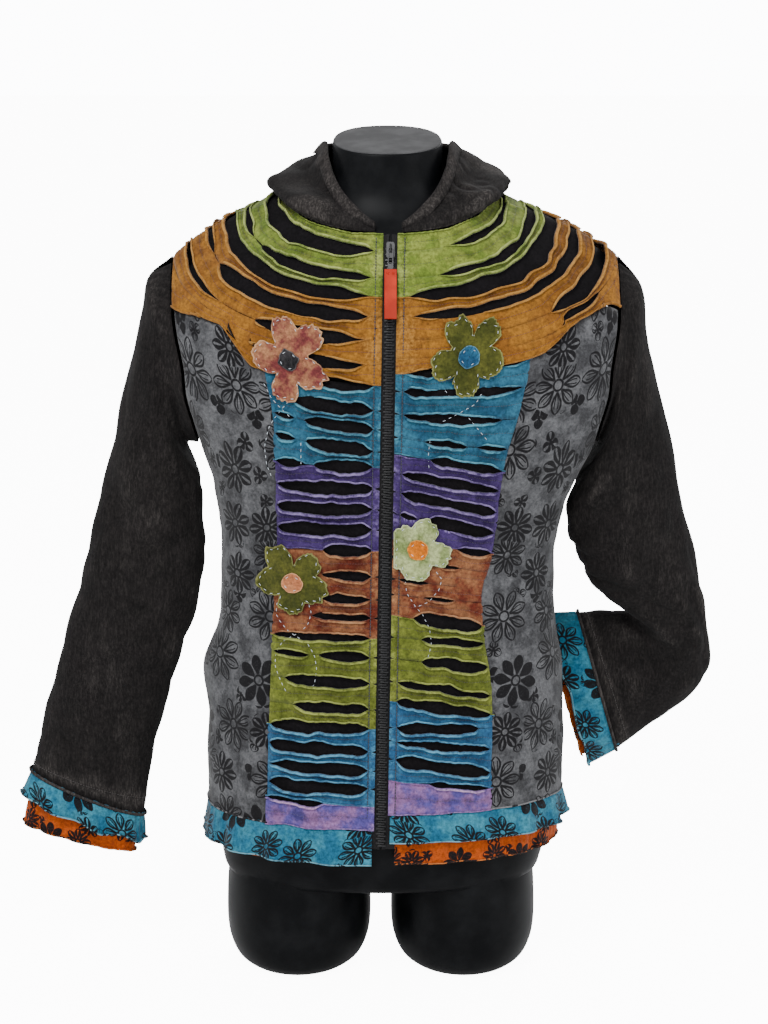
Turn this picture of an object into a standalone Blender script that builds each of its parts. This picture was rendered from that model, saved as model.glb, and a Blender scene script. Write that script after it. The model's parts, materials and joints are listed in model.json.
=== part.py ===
"""Hooded patchwork jacket in cotton jersey with slashed panels, on a torso form.

The jacket faces -Y, +X is to the right of someone who looks at it, and z = 0 is
the floor under the two flat stubs of the form. Every panel lies on one body
surface, a loft of tilted rings round the torso. A place on it is named by its
height at the centre front and its angle round the body from there. The origin
lies on the floor under the middle of the whole, sleeves and all, so the middle
of the torso stands at TORSO.
"""
import math

import bmesh
import bpy
import numpy as np
from mathutils import Matrix

MM = 0.001
TORSO = np.array((28, 2, 0)) * MM

# Rings of the jacket from the neck seam down, in mm. A ring is a flat tilted
# section: its height at the centre front, at the side and at the centre back,
# then its half width, its depth in front and behind, how far it leans to +X, and
# the room that the jacket leaves round the form.
FRONT, SIDE, BACK, WIDTH, DEPTH_FRONT, DEPTH_BACK, LEAN, EASE = range(8)
BODY_RINGS = (
    (784, 815, 838, 100, 80, 68, 1, 0.8),
    (768, 809, 830, 116, 88, 76, 1, 0.8),
    (743, 799, 815, 142, 98, 86, 2, 1.0),
    (725, 793, 803, 160, 104, 92, 3, 1.6),
    (706, 782, 788, 183, 109, 97, 5, 2.4),
    (684, 768, 770, 207, 113, 101, 7, 3.2),
    (663, 754, 750, 224, 116, 104, 8, 4.0),
    (640, 735, 725, 236, 117, 106, 9, 5.0),
    (600, 690, 668, 236, 118, 107, 10, 7.0),
    (575, 645, 630, 228, 118, 106, 10, 8.0),
    (560, 605, 600, 215, 117, 104, 10, 9.0),
    (545, 566, 570, 201, 116, 102, 10, 10.0),
    (515, 522, 528, 184, 113, 97, 6, 10.0),
    (471, 474, 476, 174, 109, 90, 2, 10.0),
    (425, 426, 427, 172, 107, 87, 0, 10.0),
    (380, 380, 380, 174, 107, 90, 0, 10.0),
    (335, 335, 335, 179, 108, 96, 0, 10.0),
    (288, 288, 288, 184, 110, 102, -1, 10.0),
    (240, 240, 240, 187, 112, 107, -2, 10.0),
    (190, 190, 190, 186, 114, 110, -3, 10.0),
    (130, 130, 130, 184, 115, 111, -4, 10.0),
)
# A section is a superellipse, a little squarer than an ellipse.
SQUARENESS = 2.25
# Steps on the surface over which its normal is measured.
ANGLE_STEP = 0.012
HEIGHT_STEP = 2 * MM

# Rings of the form where no cloth covers it, with the same columns but the last.
NECK_RINGS = (
    (861, 872, 884, 54, 52, 52, 0),
    (858, 869, 881, 55.5, 53.5, 53.5, 0),
    (838, 850, 862, 56, 55, 54, 0),
    (818, 837, 852, 61, 58, 55, 0),
    (800, 825, 843, 77, 66, 58, 0),
)
HIP_RINGS = ((112, 112, 112, 168, 100, 98, -6), (104, 104, 104, 150, 84, 82, -6))
FORM_SIDES = 24
# The form follows every ring down to the armpit and every second one below it.
FORM_SHOULDER_RINGS = 12
# Share of the ease that lowers a ring at its front, side and back.
FORM_DROP = (0.5, 0.7, 0.7)
# Stubs: height, half width and half depth in mm.
STUB_RINGS = ((150, 62, 70), (110, 74, 84), (70, 77, 87), (36, 76, 86), (14, 69, 80), (4, 59, 71),
              (0, 48, 60))
STUB_SIDES = 20
STUB_CENTRE = 88 * MM
STUB_LEAN = -7 * MM

# Armhole: the sleeve takes a bite out of the side of the body.
ARMHOLE_TOP = 663 * MM
ARMHOLE_BOTTOM = 545 * MM
ARMHOLE_BITE = 22 * MM

# Cloth layers, as distances from the body surface.
CLOTH = 1.1 * MM
TRIM_WALL = 1.0 * MM
SEAM = 0.3 * MM
BASE_LIFT = 0.0
SLEEVE_LIFT = 1.0 * MM
SLEEVE_STEP = 3.4 * MM
OVER_LIFT = 2.2 * MM
PATCH_STEP = 1.7 * MM
# The lips of a slit curl outwards, fully where it stands open by WIDE_SLIT.
LIP = 0.8 * MM
WIDE_SLIT = 6 * MM
# The orange yoke also stands off more and more from line to line.
YOKE_FLARE = (0, 0, 0, 0.6 * MM, 1.3 * MM)

# The zip and the panel edges beside it, from the centre front.
ZIP_TOP = 784 * MM
ZIP_BOTTOM = 160 * MM
ZIP_TOP_ACROSS = 3 * MM
ZIP_BOTTOM_ACROSS = -7 * MM
CHAIN_HALF = 2.4 * MM
CHAIN_WALL = 2.0 * MM
TAPE_INNER = 2.8 * MM
TAPE_OUTER = 14 * MM
TAPE_WALL = 0.9 * MM
PANEL_EDGE = 7 * MM

# Outer edge of the slashed centre front, in mm: height, left width, right width.
PRINCESS = ((660, 124, 140), (640, 121, 137), (600, 113, 129), (560, 110, 117), (515, 109, 111),
            (471, 108, 107), (425, 110, 97), (381, 112, 100), (335, 114, 108), (288, 115, 111),
            (240, 116, 111), (170, 116, 111))
# Lower edge of the yoke: share of the way round from the centre panel to the
# armhole, and rise above its lowest line in mm on the left.
YOKE_RISE = ((0.0, 0), (0.1, 2), (0.18, 10), (0.26, 21), (0.42, 27), (0.66, 22), (1.0, 6))
YOKE_PEAK = 27 * MM
YOKE_FOOT = 6 * MM
YOKE_BOTTOM = {-1: 640 * MM, 1: 652 * MM}
# The slits below the round ones lie at this share of the way down to the edge.
LOW_SLITS = 0.55
HEM_MIDDLE = 190 * MM
HEM_SLANT = 8 * MM

# Slits of the yoke: line, first and last column from the zip, opening in mm.
# Columns 0 to 12 run from the zip to the shoulder, 12 to 20 on to the back.
GREEN_LINES = (784, 768, 743, 725)
ORANGE_LINES = (725, 706, 684)
YOKE_FRONT_COLUMNS = 12
YOKE_BACK_COLUMNS = 8
YOKE_SLITS = {
    -1: {"green": ((1, 1, 14, 15), (2, 1, 8, 11), (2, 9, 14, 6)),
         "orange": ((0, 1, 13, 13), (1, 1, 9, 15), (1, 10, 14, 6), (2, 1, 5, 13), (2, 7, 13, 6),
                    (3, 1, 5, 13))},
    1: {"green": ((1, 3, 14, 6), (2, 2, 14, 8)),
        "orange": ((0, 1, 14, 14), (1, 1, 14, 8), (2, 6, 14, 13), (3, 6, 9, 6))},
}
# Black cloth under the yoke: columns past the shoulder, how far it ends above the
# yoke's edge, and its two last rows as a share of the way down and a last column.
UNDERLAY_WRAP = 2
UNDERLAY_INSET = 4 * MM
UNDERLAY_ROWS = ((0.5, 12), (1.0, 10))

# Colour bands of the centre front from the yoke down: name, upper edge in mm on
# the left and on the right of the zip.
BANDS = (("blue", 640, 652), ("purple", 558, 573), ("rust", 472, 485), ("olive", 381, 406),
         ("lake", 287, 317), ("lilac", 206, 234))
PANEL_COLUMNS = 13
PANEL_OVERLAP = 2 * MM
# Slits of the centre front: height in mm at the zip, first and last column from
# the zip, opening in mm, and drop in mm from the zip to the side.
SLITS = {
    -1: ((640, 1, 9, 12, 0), (615, 1, 10, 14, -4), (596, 1, 9, 13, -6), (596, 10, 12, 6, -6),
         (574, 1, 9, 14, -8), (574, 10, 12, 8, -8),
         (558, 1, 8, 12, 0), (558, 9, 12, 6, 0), (536, 1, 12, 14, -1), (515, 1, 12, 14, 0),
         (494, 1, 12, 15, 1),
         (472, 1, 7, 12, 0), (445, 1, 7, 11, -3), (421, 1, 7, 10, -2), (402, 1, 8, 9, -2),
         (381, 1, 12, 8, 0), (361, 1, 7, 11, -2), (361, 8, 12, 7, -2), (334, 1, 11, 12, -3),
         (307, 1, 10, 12, -3),
         (287, 1, 12, 12, 0), (263, 1, 12, 14, -4), (243, 1, 12, 13, -3), (224, 1, 12, 13, -2),
         (206, 6, 12, 8, -4)),
    1: ((652, 1, 5, 8, 0), (652, 8, 12, 5, 0), (634, 1, 12, 8, 8), (612, 1, 11, 9, 16),
        (589, 3, 8, 9, 20), (589, 9, 12, 6, 20),
        (573, 4, 12, 8, 24), (554, 1, 12, 10, 24), (534, 1, 12, 12, 26), (512, 1, 3, 8, 26),
        (512, 4, 12, 14, 26),
        (485, 8, 12, 8, 20), (466, 4, 9, 5, 20), (443, 1, 5, 5, 14), (427, 4, 9, 5, 12),
        (406, 3, 12, 14, 16), (383, 4, 12, 10, 11), (361, 4, 12, 12, 14), (337, 1, 12, 9, 20),
        (317, 1, 12, 12, 20), (289, 1, 11, 11, 6), (275, 1, 12, 9, 14), (256, 1, 12, 14, 20),
        (234, 5, 12, 6, 14)),
}
# Heights in mm of the rows of the plain panels, close together by the armpit.
PANEL_ROWS = (622, 592, 566, 548, 520, 470, 410, 350, 318, 286, 235)
UNDERLAY_TOP = 1.5 * MM
UNDERLAY_COLUMNS = 5
BACK_COLUMNS = 13

# The side seam stands off the body at the pocket mouth.
POCKET_HEIGHT = 325 * MM
POCKET_REACH = 34 * MM
POCKET_START = 0.35
POCKET_FLARE = {-1: 13 * MM, 1: 3 * MM}

# Rings of the sleeves in mm: outer edge x and z, inner edge x and z, half depth
# and place in depth.
OUTER_X, OUTER_Z, INNER_X, INNER_Z, DEPTH, MIDDLE = range(6)
LEFT_SLEEVE = (
    (244, 735, 206, 565, 48, 0), (258, 672, 207, 553, 52, 2), (276, 602, 196, 532, 49, 2),
    (295, 527, 190, 496, 46, 0), (312, 458, 189, 452, 43, -2), (326, 402, 198, 402, 40, -4),
    (342, 348, 213, 352, 38, -4), (356, 297, 229, 303, 35, -3), (368, 252, 245, 246, 32, 0),
    (379, 209, 261, 160, 26, 2),
)
RIGHT_SLEEVE = (
    (256, 732, 218, 568, 48, 0), (266, 678, 216, 554, 52, 2), (281, 615, 199, 530, 49, 2),
    (297, 556, 186, 497, 46, 2), (309, 497, 189, 459, 44, 4), (322, 437, 203, 424, 42, 8),
    (336, 384, 226, 398, 38, 16), (344, 340, 248, 380, 34, 26), (344, 308, 262, 372, 33, 34),
    (328, 280, 258, 370, 32, 44), (302, 254, 244, 369, 31, 54), (274, 231, 224, 367, 28, 62),
    (251, 211, 207, 364, 25, 66),
)
SLEEVE_SIDES = 16
# A ring is added halfway where two outer edges are further apart than this.
RING_SPACING = 56
# Main creases of the sleeves: place along (0 shoulder, 1 cuff), place round in
# degrees from the outer edge, degrees that it turns in a quarter of the length,
# depth in mm, width as a share of the length.
CREASES = (
    (0.14, 120, 160, 5, 0.05), (0.25, 70, -140, 4, 0.05), (0.40, 130, 180, 5, 0.05),
    (0.52, 60, 120, 4, 0.05), (0.63, 100, -160, 5, 0.045), (0.76, 50, 150, 4, 0.045),
    (0.20, 250, 150, 5, 0.05), (0.46, 230, -150, 5, 0.05), (0.68, 290, 130, 4, 0.05),
)
CREASE_REACH = 50

# Ends of the sleeves and hem: length, and for the upper and the lower edge the
# distance out, the share of the length and the height of a wave, in mm.
CUFF_RUFFLE = {-1: 29 * MM, 1: 33 * MM}
CUFF_RUFFLE_EDGES = ((1.5, 0.0, 0.0), (6.5, 1.0, 3.0))
CUFF_START = 0.6 * MM
CUFF_BAND = {-1: 54 * MM, 1: 38 * MM}
CUFF_BAND_EDGES = ((-1.8, 0.0, 0.3), (-4.5, 1.0, 1.8))
CUFF_WAVES = 8
# The left sleeve end hangs nearer to upright than the sleeve, and its gathered
# band is longer at the outer edge. Both are shares of the length.
CUFF_LEAN = {-1: 0.20, 1: 0.0}
BAND_TILT = {-1: 0.15, 1: 0.0}
HEM_RUFFLE = 33 * MM
HEM_RUFFLE_EDGES = ((3.2, 0.0, 0.0), (7.5, 1.0, 3.4))
HEM_RUFFLE_SLANT = 4 * MM
HEM_BAND_EDGES = ((0.0, 0.0, 0.6), (-0.8, 1.0, 1.8))
HEM_FOOT = 144 * MM
HEM_WAVES = 9
HEM_WAVE_START = 0.8
HEM_END_WAVE = 0.2
POINTS_A_WAVE = 4

# Hood, from the neck seam: degrees round from the front, then out and up in mm of
# each fold from the seam to the face edge.
HOOD_STATIONS = (
    (6, ((0, 2), (0, 3.5), (-0.5, 5), (-1, 6.5), (-1.5, 8), (-2, 9.5), (-2.5, 11))),
    (24, ((0, 2), (0, 7), (-3, 12), (-6, 16), (-9, 20), (-12, 25), (-15, 30))),
    (46, ((0, 3), (3, 12), (-3, 21), (-12, 26), (-19, 30), (-24, 38), (-29, 46))),
    (70, ((0, 3), (12, 10), (8, 19), (-8, 23), (-21, 27), (-30, 41), (-37, 54))),
    (95, ((0, 3), (20, 5), (19, 14), (-2, 19), (-16, 22), (-28, 36), (-38, 50))),
    (130, ((0, 3), (27, 0), (40, -22), (41, -6), (17, 12), (-6, 22), (-20, 33))),
    (180, ((0, 3), (24, -18), (44, -88), (51, -58), (32, 4), (8, 24), (-6, 30))),
)
HOOD_START = math.radians(6)
HOOD_COLUMNS = 26
BAND_WIDTH = 11 * MM
BAND_OFF = 2.6 * MM
# At the front the band is wider than the hood's last fold by this much.
BAND_STRETCH = 1.6
BACK_GAP = 0.004

# Appliqued flowers: name, across in mm, height in mm, radius in mm, turn in
# degrees, distance from the body surface in mm, colour.
FLOWERS = (
    ("chest_left", -96, 656, 38, 82, 5.4, "pink"), ("chest_right", 79, 664, 39, 104, 4.9, "moss"),
    ("belly_left", -94, 436, 37, 108, 4.5, "moss"),
    ("belly_right", 30, 474, 33, 75, 4.5, "pale green"),
)
PETALS = 5
PETAL_STEPS = 6
# The outline between two petals lies at this share of the radius.
PETAL_VALLEY = 0.62
PETAL_ROUNDNESS = 0.6
PETAL_FILL = 0.2
FLOWER_INNER = 0.55
PATCH_RADIUS = 10 * MM
PATCH_SIDES = 14

# Slider and pull tab of the zip. Heights are measured out from the slider's seat
# on the chain, and places down along the zip from the slider's top.
SLIDER_TOP = 776 * MM
SLIDER_SEAT = 2.9 * MM
SLIDER_SPAN = 40 * MM
SLIDER_LENGTH = 17 * MM
SLIDER_WIDTH = 9 * MM
SLIDER_BETWEEN = (0.4 * MM, 3.0 * MM)
BAIL_RADIUS = 0.9 * MM
BAIL_ROUTE = ((3.0, 2.4), (3.6, 5.6), (6.8, 7.4), (10.0, 5.6), (10.6, 2.4))
PIVOT_DOWN = 6.8 * MM
PIVOT_OUT = 4.7 * MM
PULLER_START = 6.2 * MM
PULLER_LENGTH = 22.5 * MM
PULLER_BETWEEN = (4.0 * MM, 5.4 * MM)
PULLER_BAR = 1.2 * MM
EYE_WIDTH = 3.5 * MM
EYE_LENGTH = 16 * MM
EYE_BETWEEN = (2.0 * MM, 8.0 * MM)
PULLER_WIDTH = 5.4 * MM
TAG_LENGTH = 50 * MM
TAG_WIDTH = 12 * MM
TAG_BETWEEN = (3.4 * MM, 6.0 * MM)

# Base colour, roughness and metallic value of each material.
COLOURS = {
    "form": (0.012, 0.012, 0.014, 0.28, 0.0),
    "underlay": (0.017, 0.016, 0.018, 0.9, 0.0),
    "green": (0.26, 0.35, 0.08, 0.85, 0.0),
    "orange": (0.50, 0.19, 0.02, 0.85, 0.0),
    "blue": (0.03, 0.23, 0.40, 0.85, 0.0),
    "purple": (0.13, 0.08, 0.30, 0.85, 0.0),
    "rust": (0.35, 0.10, 0.03, 0.85, 0.0),
    "olive": (0.22, 0.26, 0.06, 0.85, 0.0),
    "lake": (0.05, 0.24, 0.46, 0.85, 0.0),
    "lilac": (0.40, 0.26, 0.52, 0.85, 0.0),
    "grey print": (0.17, 0.19, 0.22, 0.85, 0.0),
    "stonewash": (0.028, 0.024, 0.024, 0.88, 0.0),
    "blue print": (0.06, 0.23, 0.30, 0.85, 0.0),
    "orange print": (0.50, 0.11, 0.02, 0.85, 0.0),
    "pink": (0.36, 0.13, 0.11, 0.85, 0.0),
    "moss": (0.15, 0.16, 0.04, 0.85, 0.0),
    "pale green": (0.36, 0.41, 0.20, 0.85, 0.0),
    "patch": (0.45, 0.20, 0.06, 0.85, 0.0),
    "black tape": (0.01, 0.01, 0.011, 0.7, 0.0),
    "dark metal": (0.05, 0.05, 0.055, 0.35, 1.0),
    "red rubber": (0.50, 0.04, 0.01, 0.5, 0.0),
}


# Objects and materials.

def clear_scene():
    for item in list(bpy.data.objects):
        bpy.data.objects.remove(item, do_unlink=True)


def make_collection(name):
    collection = bpy.data.collections.new(name)
    bpy.context.scene.collection.children.link(collection)
    return collection


def material(name):
    found = bpy.data.materials.get(name)
    if found:
        return found
    red, green, blue, roughness, metallic = COLOURS[name]
    made = bpy.data.materials.new(name)
    made.use_nodes = True
    shader = made.node_tree.nodes["Principled BSDF"]
    shader.inputs["Base Color"].default_value = (red, green, blue, 1.0)
    shader.inputs["Roughness"].default_value = roughness
    shader.inputs["Metallic"].default_value = metallic
    return made


def add_mesh(name, points, faces, colour):
    """An object from points measured from the middle of the torso."""
    mesh = bpy.data.meshes.new(name)
    mesh.from_pydata([tuple(np.array(point) + TORSO) for point in points], [], faces)
    item = bpy.data.objects.new(name, mesh)
    JACKET.objects.link(item)
    mesh.materials.append(material(colour))
    mesh.shade_smooth()
    return item


def add_wall(name, points, faces, colour, wall=CLOTH):
    """An open sheet thickened outwards into a cloth wall."""
    item = add_mesh(name, points, faces, colour)
    solidify = item.modifiers.new("Wall", "SOLIDIFY")
    solidify.thickness = wall
    solidify.offset = 1.0
    return item


def row_faces(rows, flip, closed=False):
    """Faces between rows of points. A row that is shorter ends the sheet sooner."""
    faces = []
    start = 0
    for row, after in zip(rows, rows[1:]):
        width = min(len(row), len(after))
        below = start + len(row)
        for column in range(width if closed else width - 1):
            beside = (column + 1) % width
            corners = (start + column, below + column, below + beside, start + beside)
            faces.append(corners[::-1] if flip else corners)
        start = below
    return faces


def add_sheet(name, rows, flip, colour, closed=False, wall=CLOTH):
    points = [point for row in rows for point in row]
    return add_wall(name, points, row_faces(rows, flip, closed), colour, wall)


def point_normals_out(item):
    shape = bmesh.new()
    shape.from_mesh(item.data)
    bmesh.ops.recalc_face_normals(shape, faces=shape.faces)
    shape.to_mesh(item.data)
    shape.free()


def make_helper(item):
    """A cutter or a shape for a union goes with the helpers and isn't shown."""
    for collection in list(item.users_collection):
        collection.objects.unlink(item)
    HELPERS.objects.link(item)
    item.hide_render = True
    item.display_type = "WIRE"


def add_boolean(item, name, operation, other):
    boolean = item.modifiers.new(name, "BOOLEAN")
    boolean.operation = operation
    boolean.object = other


def side_name(side):
    return "left" if side < 0 else "right"


# The body surface.

def smooth_table(rows):
    """Smooth curves through the columns of a table, against its first column."""
    table = np.array(sorted(rows), float)
    places = table[:, 0]
    slopes = np.gradient(table, places, axis=0)

    def value(place):
        place = min(max(place, places[0]), places[-1])
        low = min(int(np.searchsorted(places, place, side="right")) - 1, len(places) - 2)
        span = places[low + 1] - places[low]
        share = (place - places[low]) / span
        weight = share * share * (3 - 2 * share)
        leaving = slopes[low] * span * share * (1 - share) ** 2
        arriving = slopes[low + 1] * span * (1 - share) * share ** 2
        return table[low] * (1 - weight) + table[low + 1] * weight + leaving - arriving
    return value


BODY = smooth_table(BODY_RINGS)
PRINCESS_CURVE = smooth_table(PRINCESS)
HOOD_CURVE = smooth_table([(place, *np.ravel(folds)) for place, folds in HOOD_STATIONS])


def ring_point(ring, angle):
    """A point of a tilted ring, at an angle from the centre front towards +X."""
    across = math.copysign(abs(math.sin(angle)) ** (2 / SQUARENESS), math.sin(angle))
    along = abs(math.cos(angle)) ** (2 / SQUARENESS)
    front = math.cos(angle) > 0
    deep = -ring[DEPTH_FRONT] if front else ring[DEPTH_BACK]
    end = ring[FRONT] if front else ring[BACK]
    height = ring[SIDE] + (end - ring[SIDE]) * along
    return np.array((ring[LEAN] + ring[WIDTH] * across, deep * along, height))


def surface(height, angle):
    return ring_point(BODY(height / MM) * MM, angle)


def body_point(height, angle, lift=0.0):
    """A point at a distance from the body surface."""
    down = surface(height - HEIGHT_STEP, angle) - surface(height + HEIGHT_STEP, angle)
    onward = surface(height, angle + ANGLE_STEP) - surface(height, angle - ANGLE_STEP)
    normal = np.cross(down, onward)
    return surface(height, angle) + normal / np.linalg.norm(normal) * lift


def half_width(height):
    return BODY(height / MM)[WIDTH] * MM


def share_angle(share):
    """Angle of the point that lies at a share of the half width."""
    return math.copysign(math.asin(min(abs(share), 1.0) ** (SQUARENESS / 2)), share)


def angle_at(height, across):
    """Angle from the centre front of the front point at a place across."""
    return share_angle((across - BODY(height / MM)[LEAN] * MM) / half_width(height))


def zip_across(height):
    share = (ZIP_TOP - height) / (ZIP_TOP - ZIP_BOTTOM)
    return ZIP_TOP_ACROSS + (ZIP_BOTTOM_ACROSS - ZIP_TOP_ACROSS) * share


def front_angle(side, height, out):
    """Angle round one side of the front, at a distance out from the zip."""
    return side * angle_at(height, zip_across(height) + side * out)


def armhole_across(height):
    middle = (ARMHOLE_TOP + ARMHOLE_BOTTOM) / 2
    reach = (ARMHOLE_TOP - ARMHOLE_BOTTOM) / 2
    share = (height - middle) / reach
    return half_width(height) - ARMHOLE_BITE * max(0.0, 1 - share * share)


def side_angle(height):
    """Where the front ends: at the armhole, or at the side seam below it."""
    if ARMHOLE_BOTTOM < height < ARMHOLE_TOP:
        return share_angle(armhole_across(height) / half_width(height))
    return math.pi / 2


def princess(side, height):
    column = 1 if side < 0 else 2
    return PRINCESS_CURVE(height / MM)[column] * MM


def yoke_share_angle(side, height, share):
    """Angle at a share of the way round from the centre panel to the armhole."""
    start = front_angle(side, height, princess(side, min(height, YOKE_BOTTOM[side])))
    end = side_angle(min(height, YOKE_BOTTOM[side] + YOKE_FOOT))
    return start + (end - start) * share


def yoke_edge(side, share):
    """Height of the yoke's lower edge. Both sides peak and end at one height."""
    shares, rises = zip(*YOKE_RISE)
    rise = float(np.interp(share, shares, rises)) * MM
    start = YOKE_BOTTOM[side]
    peak = (YOKE_BOTTOM[-1] + YOKE_PEAK - start) / YOKE_PEAK
    foot = YOKE_BOTTOM[-1] + YOKE_FOOT - start - YOKE_FOOT * peak
    return start + rise * peak + foot * max(share, 0.0) ** 3


def hem_height(side, angle):
    return HEM_MIDDLE + side * HEM_SLANT * math.cos(angle / 2)


# Slashed cloth.

def lens(column, first, last):
    """How far a slit stands open at a column, from 0 at its ends to 1."""
    if column <= first or column >= last:
        return 0.0
    return math.sin(math.pi * (column - first) / (last - first)) ** 0.5


def slashed_sheet(name, lines, columns, slits, place, flip, colour, flare=None, parting=None):
    """Strips between lines. A slit parts the two strips that meet on its line.

    lines give a height for each column, and place gives a point from a height, a
    column and a lip. slits are rows of line, first column, last column and
    opening. flare is the lift of each line. parting is a column and a point:
    past that column the last line starts again from the point.
    """
    last_line = len(lines) - 1
    points = []
    above = {}
    below = {}
    for line, height_at in enumerate(lines):
        edge = (line == 0) - (line == last_line)
        for column in range(columns + 1):
            height = height_at(column)
            opening = MM * sum(lens(column, first, last) * width
                               for at, first, last, width in slits if at == line)
            lip = LIP * min(opening / WIDE_SLIT, 1.0) + (flare[line] if flare else 0.0)
            above[line, column] = below[line, column] = len(points)
            if opening and edge == 0:
                below[line, column] += 1
                points.append(place(height + opening / 2, column, lip))
                points.append(place(height - opening / 2, column, lip))
            else:
                points.append(place(height - edge * opening / 2, column, lip))
    faces = []
    for strip in range(last_line):
        for column in range(columns):
            corners = [below[strip, column], above[strip + 1, column],
                       above[strip + 1, column + 1], below[strip, column + 1]]
            if parting and strip + 1 == last_line and column == parting[0]:
                corners[1] = len(points)
            faces.append(corners[::-1] if flip else corners)
    if parting:
        points.append(parting[1])
    return add_wall(name, points, faces, colour)


# The yoke.

def yoke_angle(side, height, column, behind=False):
    """Angle of a yoke column, warped so that column 12 ends at the armhole.

    behind gives that column's angle at the back of the armhole instead.
    """
    if column <= YOKE_FRONT_COLUMNS and not behind:
        start = front_angle(side, height, PANEL_EDGE)
        return side * (start + (side_angle(height) - start) * column / YOKE_FRONT_COLUMNS)
    share = (column - YOKE_FRONT_COLUMNS) / YOKE_BACK_COLUMNS
    begin = math.pi - side_angle(height)
    end = math.pi - share_angle(SEAM / half_width(height))
    return side * (begin + (end - begin) * share)


def yoke_edge_height(side, column):
    """Height at which a yoke column meets the lower edge, by halving."""
    low = YOKE_BOTTOM[-1]
    high = YOKE_BOTTOM[1] + YOKE_PEAK
    for _ in range(16):
        middle = (low + high) / 2
        start = yoke_share_angle(side, middle, 0.0)
        whole = yoke_share_angle(side, middle, 1.0) - start
        if middle < yoke_edge(side, (side * yoke_angle(side, middle, column) - start) / whole):
            low = middle
        else:
            high = middle
    return middle


def level(height):
    return lambda column: height


def yoke_lines(side):
    """Heights of the orange lines: three rings, then two that follow the lower edge."""
    edge = [yoke_edge_height(side, column) for column in range(YOKE_FRONT_COLUMNS + 1)]
    edge += [YOKE_BOTTOM[-1]] * YOKE_BACK_COLUMNS
    lowest_ring = ORANGE_LINES[-1] * MM
    slits = [lowest_ring + (height - lowest_ring) * LOW_SLITS for height in edge]
    return [level(height * MM) for height in ORANGE_LINES] + [slits.__getitem__, edge.__getitem__]


def build_yoke(side):
    columns = YOKE_FRONT_COLUMNS + YOKE_BACK_COLUMNS
    green = [level(height * MM) for height in GREEN_LINES]
    green[-1] = level(GREEN_LINES[-1] * MM + SEAM / 2)
    orange = yoke_lines(side)
    orange[0] = level(ORANGE_LINES[0] * MM - SEAM / 2)
    slits = YOKE_SLITS[side]
    last_green = len(GREEN_LINES) - 1
    shared = tuple((last_green, *slit[1:]) for slit in slits["orange"] if slit[0] == 0)

    def place(height, column, lip):
        return body_point(height, yoke_angle(side, height, column), OVER_LIFT + lip)

    foot_angle = yoke_angle(side, YOKE_BOTTOM[-1], YOKE_FRONT_COLUMNS, behind=True)
    foot = body_point(YOKE_BOTTOM[-1], foot_angle, OVER_LIFT + YOKE_FLARE[-1])
    slashed_sheet(f"yoke_green_{side_name(side)}", green, columns, slits["green"] + shared, place,
                  side < 0, "green")
    slashed_sheet(f"yoke_orange_{side_name(side)}", orange, columns, slits["orange"], place,
                  side < 0, "orange", flare=YOKE_FLARE, parting=(YOKE_FRONT_COLUMNS, foot))
    build_yoke_underlay(side)


def build_yoke_underlay(side):
    """Black cloth under the slit part of the yoke, shorter beside the armhole."""
    heights = GREEN_LINES + ORANGE_LINES[1:]
    edge = yoke_lines(side)[-1]
    lowest = heights[-1] * MM

    def spot(height, column):
        angle = yoke_angle(side, height, column)
        if column == 0:
            angle = side * front_angle(side, height, TAPE_OUTER + SEAM)
        return body_point(height, angle, BASE_LIFT)

    reach = YOKE_FRONT_COLUMNS + UNDERLAY_WRAP
    rows = [[spot(height * MM, column) for column in range(reach + 1)] for height in heights]
    for share, last in UNDERLAY_ROWS:
        feet = [edge(column) + UNDERLAY_INSET * (1 + column / YOKE_FRONT_COLUMNS)
                for column in range(last + 1)]
        rows.append([spot(lowest + (foot - lowest) * share, column) for column, foot in enumerate(feet)])
    add_sheet(f"yoke_underlay_{side_name(side)}", rows, side < 0, "underlay")


# The centre front.

def band_line(height, drop):
    return lambda column: (height - drop * column / PANEL_COLUMNS) * MM


def build_centre_front(side):
    tops = [band[1 if side < 0 else 2] for band in BANDS]

    def place(height, column, lip):
        outer = princess(side, height) + PANEL_OVERLAP
        out = PANEL_EDGE + (outer - PANEL_EDGE) * column / PANEL_COLUMNS
        return body_point(height, side * front_angle(side, height, out), OVER_LIFT + lip)

    seam = SEAM / 2 / MM
    drops = {slit[0]: slit[4] for slit in SLITS[side]}
    for name, top, bottom in zip([band[0] for band in BANDS], tops, tops[1:] + [None]):
        own = [slit for slit in SLITS[side] if (bottom or 0) <= slit[0] <= top]
        heights = [top] + sorted({slit[0] for slit in own} - {top, bottom}, reverse=True) + [bottom]
        lines = [band_line(height, drops[height]) for height in heights[1:-1]]
        lines.insert(0, band_line(top - seam, drops.get(top, 0)))
        if bottom:
            lines.append(band_line(bottom + seam, drops.get(bottom, 0)))
        else:
            lines.append(level(hem_height(side, 0.0) + SEAM))
        slits = [(heights.index(height), first, last, opening) for height, first, last, opening, _ in own]
        slashed_sheet(f"{name}_{side_name(side)}", lines, PANEL_COLUMNS, slits, place, side < 0, name)

    rows = []
    for height in panel_heights(YOKE_BOTTOM[side] + UNDERLAY_TOP, hem_height(side, 0.0) + SEAM):
        outs = np.linspace(TAPE_OUTER + SEAM, princess(side, height) - 2 * SEAM, UNDERLAY_COLUMNS)
        rows.append([body_point(height, side * front_angle(side, height, out), BASE_LIFT) for out in outs])
    add_sheet(f"centre_underlay_{side_name(side)}", rows, side < 0, "underlay")


# Side fronts and back.

def panel_heights(top, bottom):
    return [top] + [row * MM for row in PANEL_ROWS] + [bottom]


def pocket_lift(side, height, share):
    swell = math.exp(-((height - POCKET_HEIGHT) / POCKET_REACH) ** 2)
    past = max(0.0, share - POCKET_START) / (1 - POCKET_START)
    return POCKET_FLARE[side] * swell * past ** 1.5


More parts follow.
